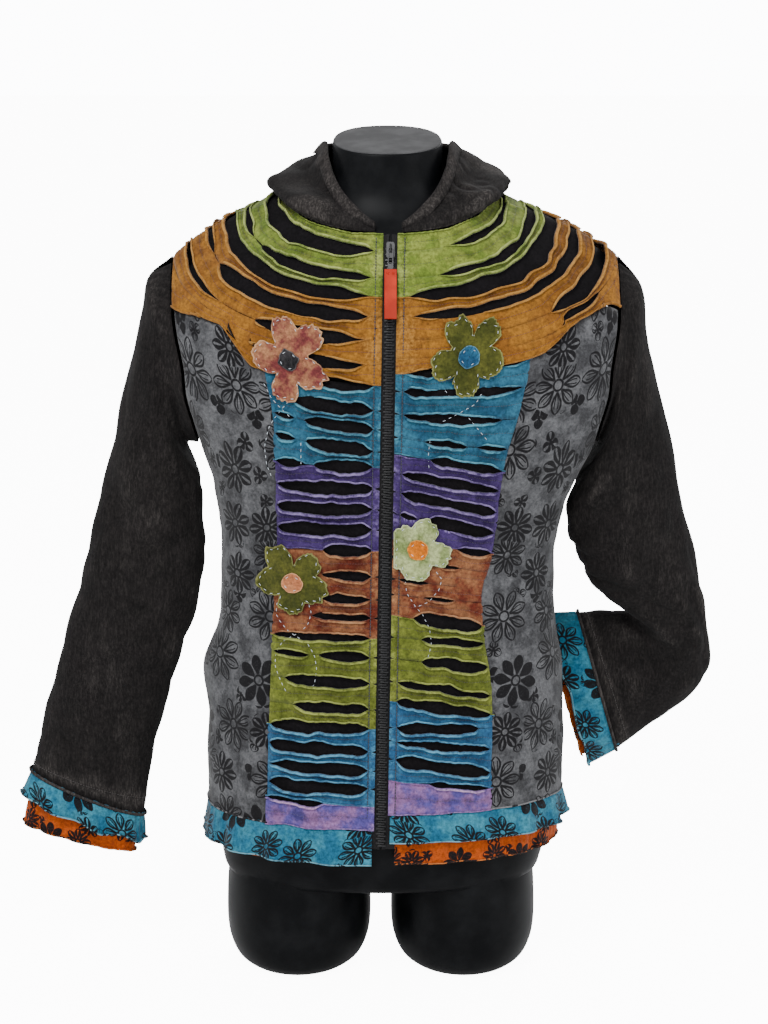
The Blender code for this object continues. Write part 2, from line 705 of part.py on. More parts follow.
def build_side_front(side):
    columns = []
    for share, _ in YOKE_RISE:
        heights = panel_heights(yoke_edge(side, share) - 2 * SEAM,
                                hem_height(side, math.pi / 2 * share) + SEAM)
        column = []
        for height in heights:
            start = yoke_share_angle(side, height, 0.0) + 2 * SEAM / half_width(height)
            end = yoke_share_angle(side, height, 1.0) - 4 * SEAM / half_width(height)
            angle = side * (start + (end - start) * share)
            column.append(body_point(height, angle, BASE_LIFT + pocket_lift(side, height, share)))
        columns.append(column)
    add_sheet(f"side_front_{side_name(side)}", list(zip(*columns)), side < 0, "grey print")


def build_back():
    columns = []
    for share in np.linspace(-1, 1, BACK_COLUMNS):
        way = -1 if share < 0 else 1
        foot = hem_height(way, math.pi - abs(share) * math.pi / 2) + SEAM
        column = []
        for height in panel_heights(YOKE_BOTTOM[-1] - 2 * SEAM, foot):
            reach = side_angle(height) - 4 * SEAM / half_width(height)
            column.append(body_point(height, math.pi - share * reach, BASE_LIFT))
        columns.append(column)
    add_sheet("back", list(zip(*columns)), True, "stonewash")


# Sleeves and cuffs.

def sleeve_ring(row, side, grow=0.0, slide=0.0, waves=0, wave=0.0, count=SLEEVE_SIDES, tilt=0.0):
    """Points round one ring of a sleeve, grown, slid along the sleeve and waved."""
    row = np.array(row) * MM
    outer = np.array((row[OUTER_X], 0, row[OUTER_Z]))
    inner = np.array((row[INNER_X], 0, row[INNER_Z]))
    centre = (outer + inner) / 2 + np.array((0, row[MIDDLE], 0))
    half = np.linalg.norm(outer - inner) / 2
    across = (outer - inner) / 2 / half
    along = np.array((across[2], 0, -across[0]))
    points = []
    for number in range(count):
        turn = 2 * math.pi * number / count
        ripple = grow + wave * math.sin(waves * turn)
        toward_front = np.array((0, -(row[DEPTH] + ripple) * math.sin(turn), 0))
        run = along * slide * (1 + tilt * math.cos(turn))
        point = centre + across * (half + ripple) * math.cos(turn) + toward_front + run
        points.append(point * np.array((side, 1, 1)))
    return points


def armhole_ring(side):
    middle = (ARMHOLE_TOP + ARMHOLE_BOTTOM) / 2
    reach = (ARMHOLE_TOP - ARMHOLE_BOTTOM) / 2 - SEAM
    points = []
    for number in range(SLEEVE_SIDES):
        turn = 2 * math.pi * number / SLEEVE_SIDES
        height = middle + reach * math.cos(turn)
        angle = side_angle(height)
        if turn > math.pi:
            angle = math.pi - angle
        points.append(body_point(height, side * angle, SLEEVE_LIFT) + np.array((side * SLEEVE_STEP, 0, 0)))
    return points


def crease_depth(along, turn):
    depth = 0.0
    for place, centre, slope, deep, width in CREASES:
        away = (math.degrees(turn) - centre + 180) % 360 - 180
        line = place + away / slope / 4
        depth += deep * MM * math.exp(-((along - line) / width) ** 2 - (away / CREASE_REACH) ** 2)
    return depth


def build_sleeve(side, table):
    rows = [table[0]]
    for row, after in zip(table, table[1:]):
        if abs(after[OUTER_Z] - row[OUTER_Z]) > RING_SPACING:
            rows.append(tuple(np.add(row, after) / 2))
        rows.append(after)
    rings = [armhole_ring(side)]
    for number, row in enumerate(rows):
        ring = sleeve_ring(row, side)
        centre = sum(ring) / len(ring)
        along = number / (len(rows) - 1)
        fade = math.sin(math.pi * along) ** 0.5 if number + 1 < len(rows) else 0.0
        pressed = []
        for place, point in enumerate(ring):
            inward = (centre - point) / np.linalg.norm(centre - point)
            turn = 2 * math.pi * place / SLEEVE_SIDES
            pressed.append(point + inward * crease_depth(along, turn) * fade)
        rings.append(pressed)
    add_sheet(f"sleeve_{side_name(side)}", rings, side < 0, "stonewash", closed=True)


def build_cuff(side, row, name, colour, edges, length, waves, tilt=0.0):
    rings = []
    for grow, share, wave in edges:
        slide = CUFF_START + length * share
        ring = sleeve_ring(row, side, grow * MM, slide, waves, wave * MM, POINTS_A_WAVE * CUFF_WAVES,
                           tilt * share)
        rings.append([point - np.array((side * CUFF_LEAN[side] * length * share, 0, 0)) for point in ring])
    add_sheet(f"{name}_{side_name(side)}", rings, side < 0, colour, closed=True, wall=TRIM_WALL)


def build_arm(side, table):
    """A sleeve, and a loose ruffle over a gathered band, both sewn to its end."""
    build_sleeve(side, table)
    build_cuff(side, table[-1], "cuff_ruffle", "blue print", CUFF_RUFFLE_EDGES, CUFF_RUFFLE[side],
               CUFF_WAVES)
    build_cuff(side, table[-1], "cuff_band", "orange print", CUFF_BAND_EDGES, CUFF_BAND[side],
               CUFF_WAVES + 1, BAND_TILT[side])


# Hem.

def build_hem(side, name, colour, edge, edges, length_at):
    """One half of a hem piece from the zip to the centre back."""
    columns = POINTS_A_WAVE * HEM_WAVES + 1
    start = front_angle(side, HEM_MIDDLE, edge)
    end = math.pi - SEAM / 2 / half_width(HEM_MIDDLE)
    rows = []
    for lift, share, wave in edges:
        row = []
        for column, angle in enumerate(np.linspace(start, end, columns)):
            top = hem_height(side, angle) - 2 * SEAM
            ripple = wave * math.sin(2 * math.pi * column / POINTS_A_WAVE + HEM_WAVE_START)
            ripple *= HEM_END_WAVE if column in (0, columns - 1) else 1.0
            height = top - length_at(top, angle) * share
            row.append(body_point(height, side * angle, (lift + ripple) * MM))
        rows.append(row)
    add_sheet(f"{name}_{side_name(side)}", rows, side < 0, colour, wall=TRIM_WALL)


def build_hems(side):
    def ruffle_length(top, angle):
        return HEM_RUFFLE - side * HEM_RUFFLE_SLANT * math.cos(angle / 2)

    def band_length(top, angle):
        return top - HEM_FOOT

    build_hem(side, "hem_ruffle", "blue print", PANEL_EDGE + PANEL_OVERLAP, HEM_RUFFLE_EDGES, ruffle_length)
    build_hem(side, "hem_band", "orange print", TAPE_OUTER + SEAM, HEM_BAND_EDGES, band_length)


# Hood.

def hood_folds(angle):
    """Out and up of each fold of the hood at an angle from the front."""
    return HOOD_CURVE(math.degrees(abs(angle)))[1:].reshape(-1, 2) * MM


def hood_point(angle, out, up):
    seam = body_point(ZIP_TOP, angle, OVER_LIFT + CLOTH / 2)
    outward = np.array((math.sin(angle), -math.cos(angle), 0))
    return seam + outward * out + np.array((0, 0, up))


def build_hood():
    angles = np.linspace(HOOD_START, 2 * math.pi - HOOD_START, HOOD_COLUMNS)
    columns = []
    for angle in angles:
        signed = angle if angle <= math.pi else angle - 2 * math.pi
        columns.append([hood_point(signed, out, up) for out, up in hood_folds(signed)])
    add_sheet("hood", list(zip(*columns)), True, "stonewash")


def build_hood_band(side):
    """The doubled edge round the face opening, laid inside the hood's last fold."""
    rows = ([], [])
    for angle in np.linspace(HOOD_START, math.pi - BACK_GAP, HOOD_COLUMNS // 2):
        before, last = hood_folds(angle)[-2:]
        length = np.linalg.norm(last - before)
        run = (last - before) / length
        aside = np.array((-run[1], run[0])) * BAND_OFF
        for row, width in zip(rows, (min(BAND_WIDTH, length * BAND_STRETCH), 0.0)):
            row.append(hood_point(side * angle, *(last - run * width - aside)))
    add_sheet(f"hood_band_{side_name(side)}", rows, side > 0, "stonewash")


# Zip.

def zip_strip(outs):
    """Rows of points down the zip, at places out to the right of its middle."""
    heights = [row * MM for row in GREEN_LINES + ORANGE_LINES[1:] + (660, 640) + PANEL_ROWS]
    rows = []
    for height in heights + [ZIP_BOTTOM]:
        rows.append([body_point(height, angle_at(height, zip_across(height) + out)) for out in outs])
    return rows


def build_zip():
    for side in (-1, 1):
        tape = zip_strip((side * TAPE_INNER, side * TAPE_OUTER))
        add_sheet(f"zip_tape_{side_name(side)}", tape, side < 0, "black tape", wall=TAPE_WALL)
    add_sheet("zip_chain", zip_strip((-CHAIN_HALF, CHAIN_HALF)), False, "black tape", wall=CHAIN_WALL)


def zip_frame():
    """Where the slider sits, and the directions down along the zip and out from it."""
    low_height = SLIDER_TOP - SLIDER_SPAN
    top = body_point(SLIDER_TOP, angle_at(SLIDER_TOP, zip_across(SLIDER_TOP)), SLIDER_SEAT)
    low = body_point(low_height, angle_at(low_height, zip_across(low_height)), SLIDER_SEAT)
    down = (low - top) * np.array((0, 1, 1))
    down /= np.linalg.norm(down)
    out = np.cross(down, np.array((1.0, 0, 0)))
    return top, down, out


def add_plate(name, outline, start, between, colour, bevel=0.0):
    """A plate in the plane of the zip: an outline of across and down, between two heights."""
    top, down, out = zip_frame()
    corners = [top + np.array((across, 0, 0)) + down * (start + drop) for across, drop in outline]
    count = len(corners)
    points = [corner + out * height for height in between for corner in corners]
    faces = [tuple(range(count)), tuple(range(2 * count - 1, count - 1, -1))]
    for number in range(count):
        after = (number + 1) % count
        faces.append((number, number + count, after + count, after))
    item = add_mesh(name, points, faces, colour)
    point_normals_out(item)
    if bevel:
        edge = item.modifiers.new("Edge", "BEVEL")
        edge.width = bevel
        edge.segments = 1
        edge.limit_method = "ANGLE"
    item.data.shade_flat()
    return item


def rounded_outline(half, length, corner, steps=3):
    """A rounded rectangle of half width and length, as across and down."""
    near = half - corner
    far = length - corner
    outline = []
    for across, down, first in ((near, corner, 0), (near, far, 90), (-near, far, 180), (-near, corner, 270)):
        for step in range(steps + 1):
            turn = math.radians(first + 90 * step / steps)
            outline.append((across + corner * math.sin(turn), down - corner * math.cos(turn)))
    return outline


def add_bail():
    """The round loop of the slider, a curve made into a mesh for a union."""
    top, down, out = zip_frame()
    curve = bpy.data.curves.new("bail", "CURVE")
    curve.dimensions = "3D"
    curve.bevel_depth = BAIL_RADIUS
    curve.bevel_resolution = 2
    curve.use_fill_caps = True
    spline = curve.splines.new("POLY")
    spline.points.add(len(BAIL_ROUTE) - 1)
    for point, (along, rise) in zip(spline.points, BAIL_ROUTE):
        point.co = (*(TORSO + top + down * along * MM + out * rise * MM), 1.0)
    source = bpy.data.objects.new("bail_curve", curve)
    HELPERS.objects.link(source)
    bpy.context.view_layer.update()
    mesh = bpy.data.meshes.new_from_object(source.evaluated_get(bpy.context.evaluated_depsgraph_get()))
    bpy.data.objects.remove(source, do_unlink=True)
    shape = bmesh.new()
    shape.from_mesh(mesh)
    bmesh.ops.remove_doubles(shape, verts=shape.verts, dist=0.01 * MM)
    bmesh.ops.recalc_face_normals(shape, faces=shape.faces)
    shape.to_mesh(mesh)
    shape.free()
    bail = bpy.data.objects.new("bail", mesh)
    make_helper(bail)
    return bail


def build_slider():
    outline = rounded_outline(SLIDER_WIDTH / 2, SLIDER_LENGTH, 2.5 * MM)
    slider = add_plate("zip_slider", outline, 0.0, SLIDER_BETWEEN, "dark metal", bevel=0.5 * MM)
    add_boolean(slider, "Bail", "UNION", add_bail())


def build_pull_tab():
    """Metal puller round the bail and the rubber tag moulded on it, hung on their axis."""
    outline = rounded_outline(PULLER_WIDTH / 2, PULLER_LENGTH, 1.4 * MM)
    puller = add_plate("zip_puller", outline, PULLER_START, PULLER_BETWEEN, "dark metal")
    eye_outline = rounded_outline(EYE_WIDTH / 2, EYE_LENGTH, 0.8 * MM)
    eye = add_plate("puller_eye", eye_outline, PULLER_START + PULLER_BAR, EYE_BETWEEN, "dark metal")
    make_helper(eye)
    add_boolean(puller, "Eye", "DIFFERENCE", eye)
    tag = add_plate("zip_tag", rounded_outline(TAG_WIDTH / 2, TAG_LENGTH, 2.5 * MM),
                    PULLER_START + PULLER_LENGTH + SEAM, TAG_BETWEEN, "red rubber", bevel=0.6 * MM)
    top, down, out = zip_frame()
    axis = bpy.data.objects.new("pull_tab", None)
    axis.location = TORSO + top + down * PIVOT_DOWN + out * PIVOT_OUT
    JACKET.objects.link(axis)
    for item in (puller, tag):
        item.data.transform(Matrix.Translation(-axis.location))
        item.parent = axis


# Flowers.

def flower_point(across, height, reach, angle, lift):
    place = height + reach * math.sin(angle)
    return body_point(place, angle_at(place, across + reach * math.cos(angle)), lift)


def petal_reach(angle, turn, ring):
    """Reach of the outline at an angle as a share of the radius. Inner rings are rounder."""
    petal = abs(math.cos(PETALS * (angle - turn) / 2)) ** PETAL_ROUNDNESS
    return ring * (PETAL_VALLEY + (1 - PETAL_VALLEY) * petal * ring + (1 - ring) * PETAL_FILL)


def round_patch(name, middle, rings, colour):
    """A patch from its middle point and rings of points round it."""
    count = len(rings[0])
    faces = [(0, 1 + number, 1 + (number + 1) % count) for number in range(count)]
    for ring in range(len(rings) - 1):
        near = 1 + ring * count
        for number in range(count):
            beside = (number + 1) % count
            faces.append((near + number, near + count + number, near + count + beside, near + beside))
    add_wall(name, [middle] + [point for ring in rings for point in ring], faces, colour, TRIM_WALL)


def build_flower(name, across, height, radius, turn, lift, colour):
    across *= MM
    height *= MM
    lift *= MM
    steps = PETALS * PETAL_STEPS
    rings = []
    for ring in (FLOWER_INNER, 1.0):
        angles = [2 * math.pi * number / steps for number in range(steps)]
        reaches = [radius * MM * petal_reach(angle, math.radians(turn), ring) for angle in angles]
        rings.append([flower_point(across, height, reach, angle, lift)
                      for reach, angle in zip(reaches, angles)])
    round_patch(f"flower_{name}", flower_point(across, height, 0.0, 0.0, lift), rings, colour)
    lift += PATCH_STEP
    angles = [2 * math.pi * number / PATCH_SIDES for number in range(PATCH_SIDES)]
    ring = [flower_point(across, height, PATCH_RADIUS, angle, lift) for angle in angles]
    round_patch(f"flower_centre_{name}", flower_point(across, height, 0.0, 0.0, lift), [ring], "patch")


# The form.

def add_loft(name, rings):
    """A closed solid through rings of points, with flat ends."""
    count = len(rings[0])
    points = [point for ring in rings for point in ring]
    faces = row_faces(rings, False, closed=True)
    faces.append(tuple(range(count)))
    faces.append(tuple(range(len(points) - 1, len(points) - count - 1, -1)))
    item = add_mesh(name, points, faces, "form")
    point_normals_out(item)
    return item


def form_ring(row):
    """A ring of the jacket, drawn in by the room that the cloth leaves."""
    ring = list(row)
    for column, share in zip((FRONT, SIDE, BACK), FORM_DROP):
        ring[column] -= row[EASE] * share
    if ARMHOLE_BOTTOM < row[FRONT] * MM < ARMHOLE_TOP:
        ring[WIDTH] = armhole_across(row[FRONT] * MM) / MM
    for column in (WIDTH, DEPTH_FRONT, DEPTH_BACK):
        ring[column] -= row[EASE]
    return ring


def build_form():
    covered = BODY_RINGS[:FORM_SHOULDER_RINGS] + BODY_RINGS[FORM_SHOULDER_RINGS + 1::2]
    table = list(NECK_RINGS) + [form_ring(row) for row in covered] + list(HIP_RINGS)
    turns = [2 * math.pi * number / FORM_SIDES for number in range(FORM_SIDES)]
    form = add_loft("form", [[ring_point(np.array(row) * MM, turn) for turn in turns] for row in table])
    for side in (-1, 1):
        add_boolean(form, f"Stub {side_name(side)}", "UNION", build_stub(side))


def build_stub(side):
    middle = STUB_LEAN + side * STUB_CENTRE
    turns = [2 * math.pi * number / STUB_SIDES for number in range(STUB_SIDES)]
    rings = [[(middle + wide * MM * math.sin(turn), -deep * MM * math.cos(turn), height * MM)
              for turn in turns] for height, wide, deep in STUB_RINGS]
    stub = add_loft(f"stub_{side_name(side)}", rings)
    make_helper(stub)
    return stub


clear_scene()
JACKET = make_collection("jacket_on_form")
HELPERS = make_collection("cutters")

build_form()
build_back()
for which, sleeve in ((-1, LEFT_SLEEVE), (1, RIGHT_SLEEVE)):
    build_yoke(which)
    build_centre_front(which)
    build_side_front(which)
    build_hems(which)
    build_arm(which, sleeve)
    build_hood_band(which)
build_hood()
build_zip()
build_slider()
build_pull_tab()
for flower in FLOWERS:
    build_flower(*flower)
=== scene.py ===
# %% [markdown]
# # A hooded patchwork jacket on a torso form
# The jacket is cut from cotton jersey and sewn in patches. Its yoke and its centre front
# are slit in long bands over black cloth, and the raw edges of the slits curl outwards.
# It hangs on a black torso form. The CAD model gives the frame: every place below is
# measured on the same body surface as the CAD, in millimetres from the middle of the torso,
# and is turned into metres only when a mesh is made.

import json
import math

import bmesh
import bpy
import numpy as np
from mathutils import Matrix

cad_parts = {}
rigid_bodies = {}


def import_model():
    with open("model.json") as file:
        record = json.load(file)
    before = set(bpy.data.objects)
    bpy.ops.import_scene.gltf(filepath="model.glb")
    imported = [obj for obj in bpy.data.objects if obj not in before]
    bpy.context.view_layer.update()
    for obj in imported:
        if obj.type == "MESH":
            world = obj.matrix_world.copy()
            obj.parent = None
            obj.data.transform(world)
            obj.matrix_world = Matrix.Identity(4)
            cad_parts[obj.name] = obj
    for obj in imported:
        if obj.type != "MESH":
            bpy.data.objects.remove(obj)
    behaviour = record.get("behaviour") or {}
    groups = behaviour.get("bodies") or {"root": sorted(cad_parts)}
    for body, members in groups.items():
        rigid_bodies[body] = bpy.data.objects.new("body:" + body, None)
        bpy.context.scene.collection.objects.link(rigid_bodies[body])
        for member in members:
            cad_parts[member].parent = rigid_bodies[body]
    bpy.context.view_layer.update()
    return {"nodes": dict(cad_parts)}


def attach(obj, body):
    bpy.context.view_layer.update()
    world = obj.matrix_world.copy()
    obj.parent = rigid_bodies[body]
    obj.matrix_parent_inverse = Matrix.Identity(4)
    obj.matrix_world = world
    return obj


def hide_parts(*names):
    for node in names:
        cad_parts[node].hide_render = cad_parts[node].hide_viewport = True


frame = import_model()

# %% [markdown]
# ## The body surface
# A tailor fits every panel to one body. Here the body is a table of tilted rings, and each
# panel is a grid on it that stands off by the thickness of the cloth below. A numpy grid is
# worked out in one go, so thousands of points cost nothing.

# %% Curves through a table
MM = 0.001
SIDES = ((-1, "left"), (1, "right"))
TORSO = np.array((28.0, 2.0, 0.0))
FRONT, SIDE, BACK, WIDTH, DEPTH_FRONT, DEPTH_BACK, LEAN, EASE = range(8)
BODY_RINGS = (
    (784, 815, 838, 100, 80, 68, 1, 0.8),
    (768, 809, 830, 116, 88, 76, 1, 0.8),
    (743, 799, 815, 142, 98, 86, 2, 1.0),
    (725, 793, 803, 160, 104, 92, 3, 1.6),
    (706, 782, 788, 183, 109, 97, 5, 2.4),
    (684, 768, 770, 207, 113, 101, 7, 3.2),
    (663, 754, 750, 224, 116, 104, 8, 4.0),
    (640, 735, 725, 236, 117, 106, 9, 5.0),
    (600, 690, 668, 236, 118, 107, 10, 7.0),
    (575, 645, 630, 228, 118, 106, 10, 8.0),
    (560, 605, 600, 215, 117, 104, 10, 9.0),
    (545, 566, 570, 201, 116, 102, 10, 10.0),
    (515, 522, 528, 184, 113, 97, 6, 10.0),
    (471, 474, 476, 174, 109, 90, 2, 10.0),
    (425, 426, 427, 172, 107, 87, 0, 10.0),
    (380, 380, 380, 174, 107, 90, 0, 10.0),
    (335, 335, 335, 179, 108, 96, 0, 10.0),
    (288, 288, 288, 184, 110, 102, -1, 10.0),
    (240, 240, 240, 187, 112, 107, -2, 10.0),
    (190, 190, 190, 186, 114, 110, -3, 10.0),
    (130, 130, 130, 184, 115, 111, -4, 10.0),
)
SQUARENESS = 2.25


def unit(vectors):
    return vectors / np.maximum(np.linalg.norm(vectors, axis=-1, keepdims=True), 1e-9)


def joined(*values):
    """Numbers and grids of numbers brought to one shape and put together as places."""
    return np.stack(np.broadcast_arrays(*values), -1)


def run_along(points, axis=0):
    """How far each point lies from the first one, along the rows or columns of a grid."""
    steps = np.linalg.norm(np.diff(points, axis=axis), axis=-1)
    return np.concatenate((np.zeros_like(steps.take([0], axis)), steps.cumsum(axis)), axis)


def smooth_table(rows):
    """Smooth curves through the columns of a table, against its first column."""
    table = np.array(sorted(rows), float)
    places = table[:, 0]
    slopes = np.gradient(table, places, axis=0)

    def value(place):
        place = np.clip(np.asarray(place, float), places[0], places[-1])
        low = np.clip(np.searchsorted(places, place, side="right") - 1, 0, len(places) - 2)
        span = (places[low + 1] - places[low])[..., None]
        share = (place - places[low])[..., None] / span
        weight = share * share * (3 - 2 * share)
        leaving = slopes[low] * span * share * (1 - share) ** 2
        arriving = slopes[low + 1] * span * (1 - share) * share ** 2
        return table[low] * (1 - weight) + table[low + 1] * weight + leaving - arriving
    return value


BODY = smooth_table(BODY_RINGS)
print("Rings of the body:", len(BODY_RINGS))


# %% Points on the body
def ring_point(ring, angle):
    """A point of a tilted ring, at an angle from the centre front towards +X."""
    across = np.sign(np.sin(angle)) * np.abs(np.sin(angle)) ** (2 / SQUARENESS)
    along = np.abs(np.cos(angle)) ** (2 / SQUARENESS)
    front = np.cos(angle) > 0
    deep = np.where(front, -ring[..., DEPTH_FRONT], ring[..., DEPTH_BACK])
    end = np.where(front, ring[..., FRONT], ring[..., BACK])
    height = ring[..., SIDE] + (end - ring[..., SIDE]) * along
    return joined(ring[..., LEAN] + ring[..., WIDTH] * across, deep * along, height)


def surface(height, angle):
    return ring_point(BODY(height), angle)


def body_point(height, angle, lift=0.0):
    """A point at a distance from the body surface."""
    height, angle, lift = np.broadcast_arrays(height, angle, np.asarray(lift, float))
    down = surface(height - 2.0, angle) - surface(height + 2.0, angle)
    onward = surface(height, angle + 0.012) - surface(height, angle - 0.012)
    return surface(height, angle) + unit(np.cross(down, onward)) * lift[..., None]


def half_width(height):
    return BODY(height)[..., WIDTH]


def share_angle(share):
    """Angle of the point that lies at a share of the half width."""
    return np.sign(share) * np.arcsin(np.minimum(np.abs(share), 1.0) ** (SQUARENESS / 2))


def angle_at(height, across):
    ring = BODY(height)
    return share_angle((across - ring[..., LEAN]) / ring[..., WIDTH])


print("Chest at 600 mm:", body_point(600.0, 0.0).round(1))

# %% [markdown]
# ## Seam lines
# The zip, the two long seams of the centre front, the lower edge of the yoke and the
# armholes are curves on that surface. They are kept as functions, so that two panels that
# meet on a seam read the same line.

# %% Zip, centre front and armhole
ZIP_TOP = 784.0
ZIP_BOTTOM = 160.0
PANEL_EDGE = 7.0
PANEL_OVERLAP = 2.0
ARMHOLE_TOP = 663.0
ARMHOLE_BOTTOM = 545.0
ARMHOLE_BITE = 22.0
SEAM = 0.3
OVER_LIFT = 2.2
UNDER_START = 14.3
PRINCESS = smooth_table((
    (660, 124, 140), (640, 121, 137), (600, 113, 129), (560, 110, 117), (515, 109, 111),
    (471, 108, 107), (425, 110, 97), (381, 112, 100), (335, 114, 108), (288, 115, 111),
    (240, 116, 111), (170, 116, 111)))


def zip_across(height):
    return 3.0 - 10.0 * (ZIP_TOP - height) / (ZIP_TOP - ZIP_BOTTOM)


def front_angle(side, height, out):
    """Angle round one side of the front, at a distance out from the zip."""
    return side * angle_at(height, zip_across(height) + side * out)


def side_angle(height):
    """Where the front ends: at the armhole, or at the side seam below it."""
    middle = (ARMHOLE_TOP + ARMHOLE_BOTTOM) / 2
    share = (height - middle) / (ARMHOLE_TOP - ARMHOLE_BOTTOM) * 2
    bite = ARMHOLE_BITE * np.maximum(0.0, 1 - share * share)
    return share_angle((half_width(height) - bite) / half_width(height))


def princess(side, height):
    return PRINCESS(height)[..., 1 if side < 0 else 2]


print("Centre front at 400 mm:", princess(-1, 400.0).round(1), princess(1, 400.0).round(1))

# %% The yoke's edge and the hem
YOKE_RISE = ((0.0, 0), (0.1, 2), (0.18, 10), (0.26, 21), (0.42, 27), (0.66, 22), (1.0, 6))
YOKE_PEAK = 27.0
YOKE_FOOT = 6.0
YOKE_BOTTOM = {-1: 640.0, 1: 652.0}
HEM_MIDDLE = 190.0
HEM_SLANT = 8.0
HEM_FOOT = 144.0
FRILL_LENGTH = 33
FRILL_SLANT = 4


def yoke_share_angle(side, height, share):
    """Angle at a share of the way round from the centre panel to the armhole."""
    start = front_angle(side, height, princess(side, np.minimum(height, YOKE_BOTTOM[side])))
    end = side_angle(np.minimum(height, YOKE_BOTTOM[side] + YOKE_FOOT))
    return start + (end - start) * share


def yoke_edge(side, share):
    shares, rises = zip(*YOKE_RISE)
    rise = np.interp(share, shares, rises)
    start = YOKE_BOTTOM[side]
    peak = (YOKE_BOTTOM[-1] + YOKE_PEAK - start) / YOKE_PEAK
    foot = YOKE_BOTTOM[-1] + YOKE_FOOT - start - YOKE_FOOT * peak
    return start + rise * peak + foot * np.maximum(share, 0.0) ** 3


def hem_height(side, angle):
    return HEM_MIDDLE + side * HEM_SLANT * np.cos(angle / 2)


print("Hem at the zip:", hem_height(-1, 0.0), hem_height(1, 0.0))

# %% [markdown]
# ## Cloth in code
# Jersey never lies quite flat, so each panel gets creases that are given one by one and a
# little uneven waviness. The waves are a sum of a few sines in random directions with a
# fixed seed, so every run gives the same cloth. A grid of points becomes a mesh with a UV
# map in metres, and a Solidify modifier gives it the thickness of jersey.

# %% Uneven waves
def uneven(places, length, seed, count=14):
    """Smooth waves of about one length, mostly between -1 and 1."""
    random = np.random.default_rng(seed)
    ways = unit(random.normal(size=(count, places.shape[-1])))
    paces = 2 * math.pi / length * random.uniform(0.6, 1.5, count)
    phases = random.uniform(0, 2 * math.pi, count)
    total = np.zeros(places.shape[:-1])
    for way, pace, phase in zip(ways, paces, phases):
        total += np.sin(places @ way * pace + phase)
    return total / math.sqrt(count) / 1.1


def grid_uv(points):
    """Lengths along the rows from their middle and down the columns, in metres."""
    across = run_along(points, axis=1)
    return np.stack((across - across[:, -1:] / 2, -run_along(points)), -1) * MM


def grid_normals(points):
    """Directions out of a grid whose rows run down and whose columns run towards +X."""
    return unit(np.cross(np.gradient(points, axis=0), np.gradient(points, axis=1)))


print("Waves at rest:", uneven(np.zeros((1, 2)), 30.0, 1).round(2))


# %% From grids to a piece of cloth
LAID_ROOM = 1.04
STRIP = (0.7, -1.0)
THIN = 0.8
THICK = 0.9
TAPE_WALL = 0.7


def new_object(name, data, finish=None):
    item = bpy.data.objects.new(name, data)
    bpy.context.scene.collection.objects.link(item)
    if finish:
        data.materials.append(finish)
    return item


def cloth_mesh(name, blocks, flip):
    """One mesh from grids of points in mm, each with its UV map and its worn lips."""
    points, uvs, lips, wears_and_highlights, faces = [], [], [], [], []
    start = 0
    for grid, uv, lip, wear_and_highlight in blocks:
        rows, columns = grid.shape[:2]
        index = start + np.arange(rows * columns).reshape(rows, columns)
        corners = np.stack((index[:-1, :-1], index[1:, :-1], index[1:, 1:], index[:-1, 1:]), -1)
        corners = corners.reshape(-1, 4)
        faces.append(corners[:, ::-1] if flip else corners)
        points.append(grid.reshape(-1, 3))
        uvs.append(uv.reshape(-1, 2))
        lips.append(np.broadcast_to(lip, (rows, columns)).ravel())
        wears_and_highlights.append(np.broadcast_to(wear_and_highlight, (rows, columns)).ravel())
        start += rows * columns
    mesh = bpy.data.meshes.new(name)
    places = (np.concatenate(points) + TORSO) * MM
    mesh.from_pydata(places.tolist(), [], np.concatenate(faces).tolist())
    corner_points = np.empty(len(mesh.loops), int)
    mesh.loops.foreach_get("vertex_index", corner_points)
    mesh.uv_layers.new(name="UVMap").data.foreach_set("uv", np.concatenate(uvs)[corner_points].ravel())
    for label, values in (("lip", lips), ("wear_and_highlight", wears_and_highlights)):
        mesh.attributes.new(label, "FLOAT", "POINT").data.foreach_set("value", np.concatenate(values))
    weld(mesh)
    mesh.shade_smooth()
    return mesh


def weld(mesh):
    """Merges points that meet, where a slit is closed or a tube comes round."""
    shape = bmesh.new()
    shape.from_mesh(mesh)
    bmesh.ops.remove_doubles(shape, verts=shape.verts, dist=0.02 * MM)
    bmesh.ops.dissolve_degenerate(shape, edges=shape.edges, dist=0.005 * MM)
    shape.to_mesh(mesh)
    shape.free()


def sew(name, node, slot, held, blocks, flip, wall, outside=1.0, rests_on="form", finish=None):
    """Makes a piece of cloth, ties it to its body, hides its CAD node and prints its cut size."""
    item = new_object(name, cloth_mesh(name, blocks, flip), finish or CLOTHS[slot])
    thickness = item.modifiers.new("Thickness", "SOLIDIFY")
    thickness.thickness = wall * MM
    thickness.offset = outside
    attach(item, "jacket")
    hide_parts(node)
    area = sum(polygon.area for polygon in item.data.polygons)
    wide = max(run_along(grid, 1)[:, -1].max() for grid, *_ in blocks) * MM
    long = sum(run_along(grid)[-1].max() for grid, *_ in blocks) * MM
    long = max(long, area / wide)
    if held == "laid":
        wide, long = np.ptp(blocks[0][1].reshape(-1, 2), axis=0) * LAID_ROOM
    print(f"{name}: cut {wide * 1000:.0f} x {long * 1000:.0f} mm, {len(item.data.polygons)} faces")


# %% [markdown]
# ## Shader groups
# The same things happen to every cloth here: the dye is uneven, the raw edges are pale, partly
# from wear and partly as a painted highlight on the rolled lips, the middles of open strips get
# painted shade, the knit shows fine ribs, and the black cloth is rubbed grey on its folds, with
# a painted highlight on their ridges. Each effect is one node group with named inputs, which
# each material uses with its own colours.

# %% Helpers for nodes
def new_group(name, inputs, outputs):
    group = bpy.data.node_groups.new(name, "ShaderNodeTree")
    for label, kind, value in inputs:
        socket = group.interface.new_socket(label, in_out="INPUT", socket_type=kind)
        socket.default_value = value
    for label, kind in outputs:
        group.interface.new_socket(label, in_out="OUTPUT", socket_type=kind)
    entry = group.nodes.new("NodeGroupInput")
    leave = group.nodes.new("NodeGroupOutput")
    return group, entry.outputs, leave.inputs


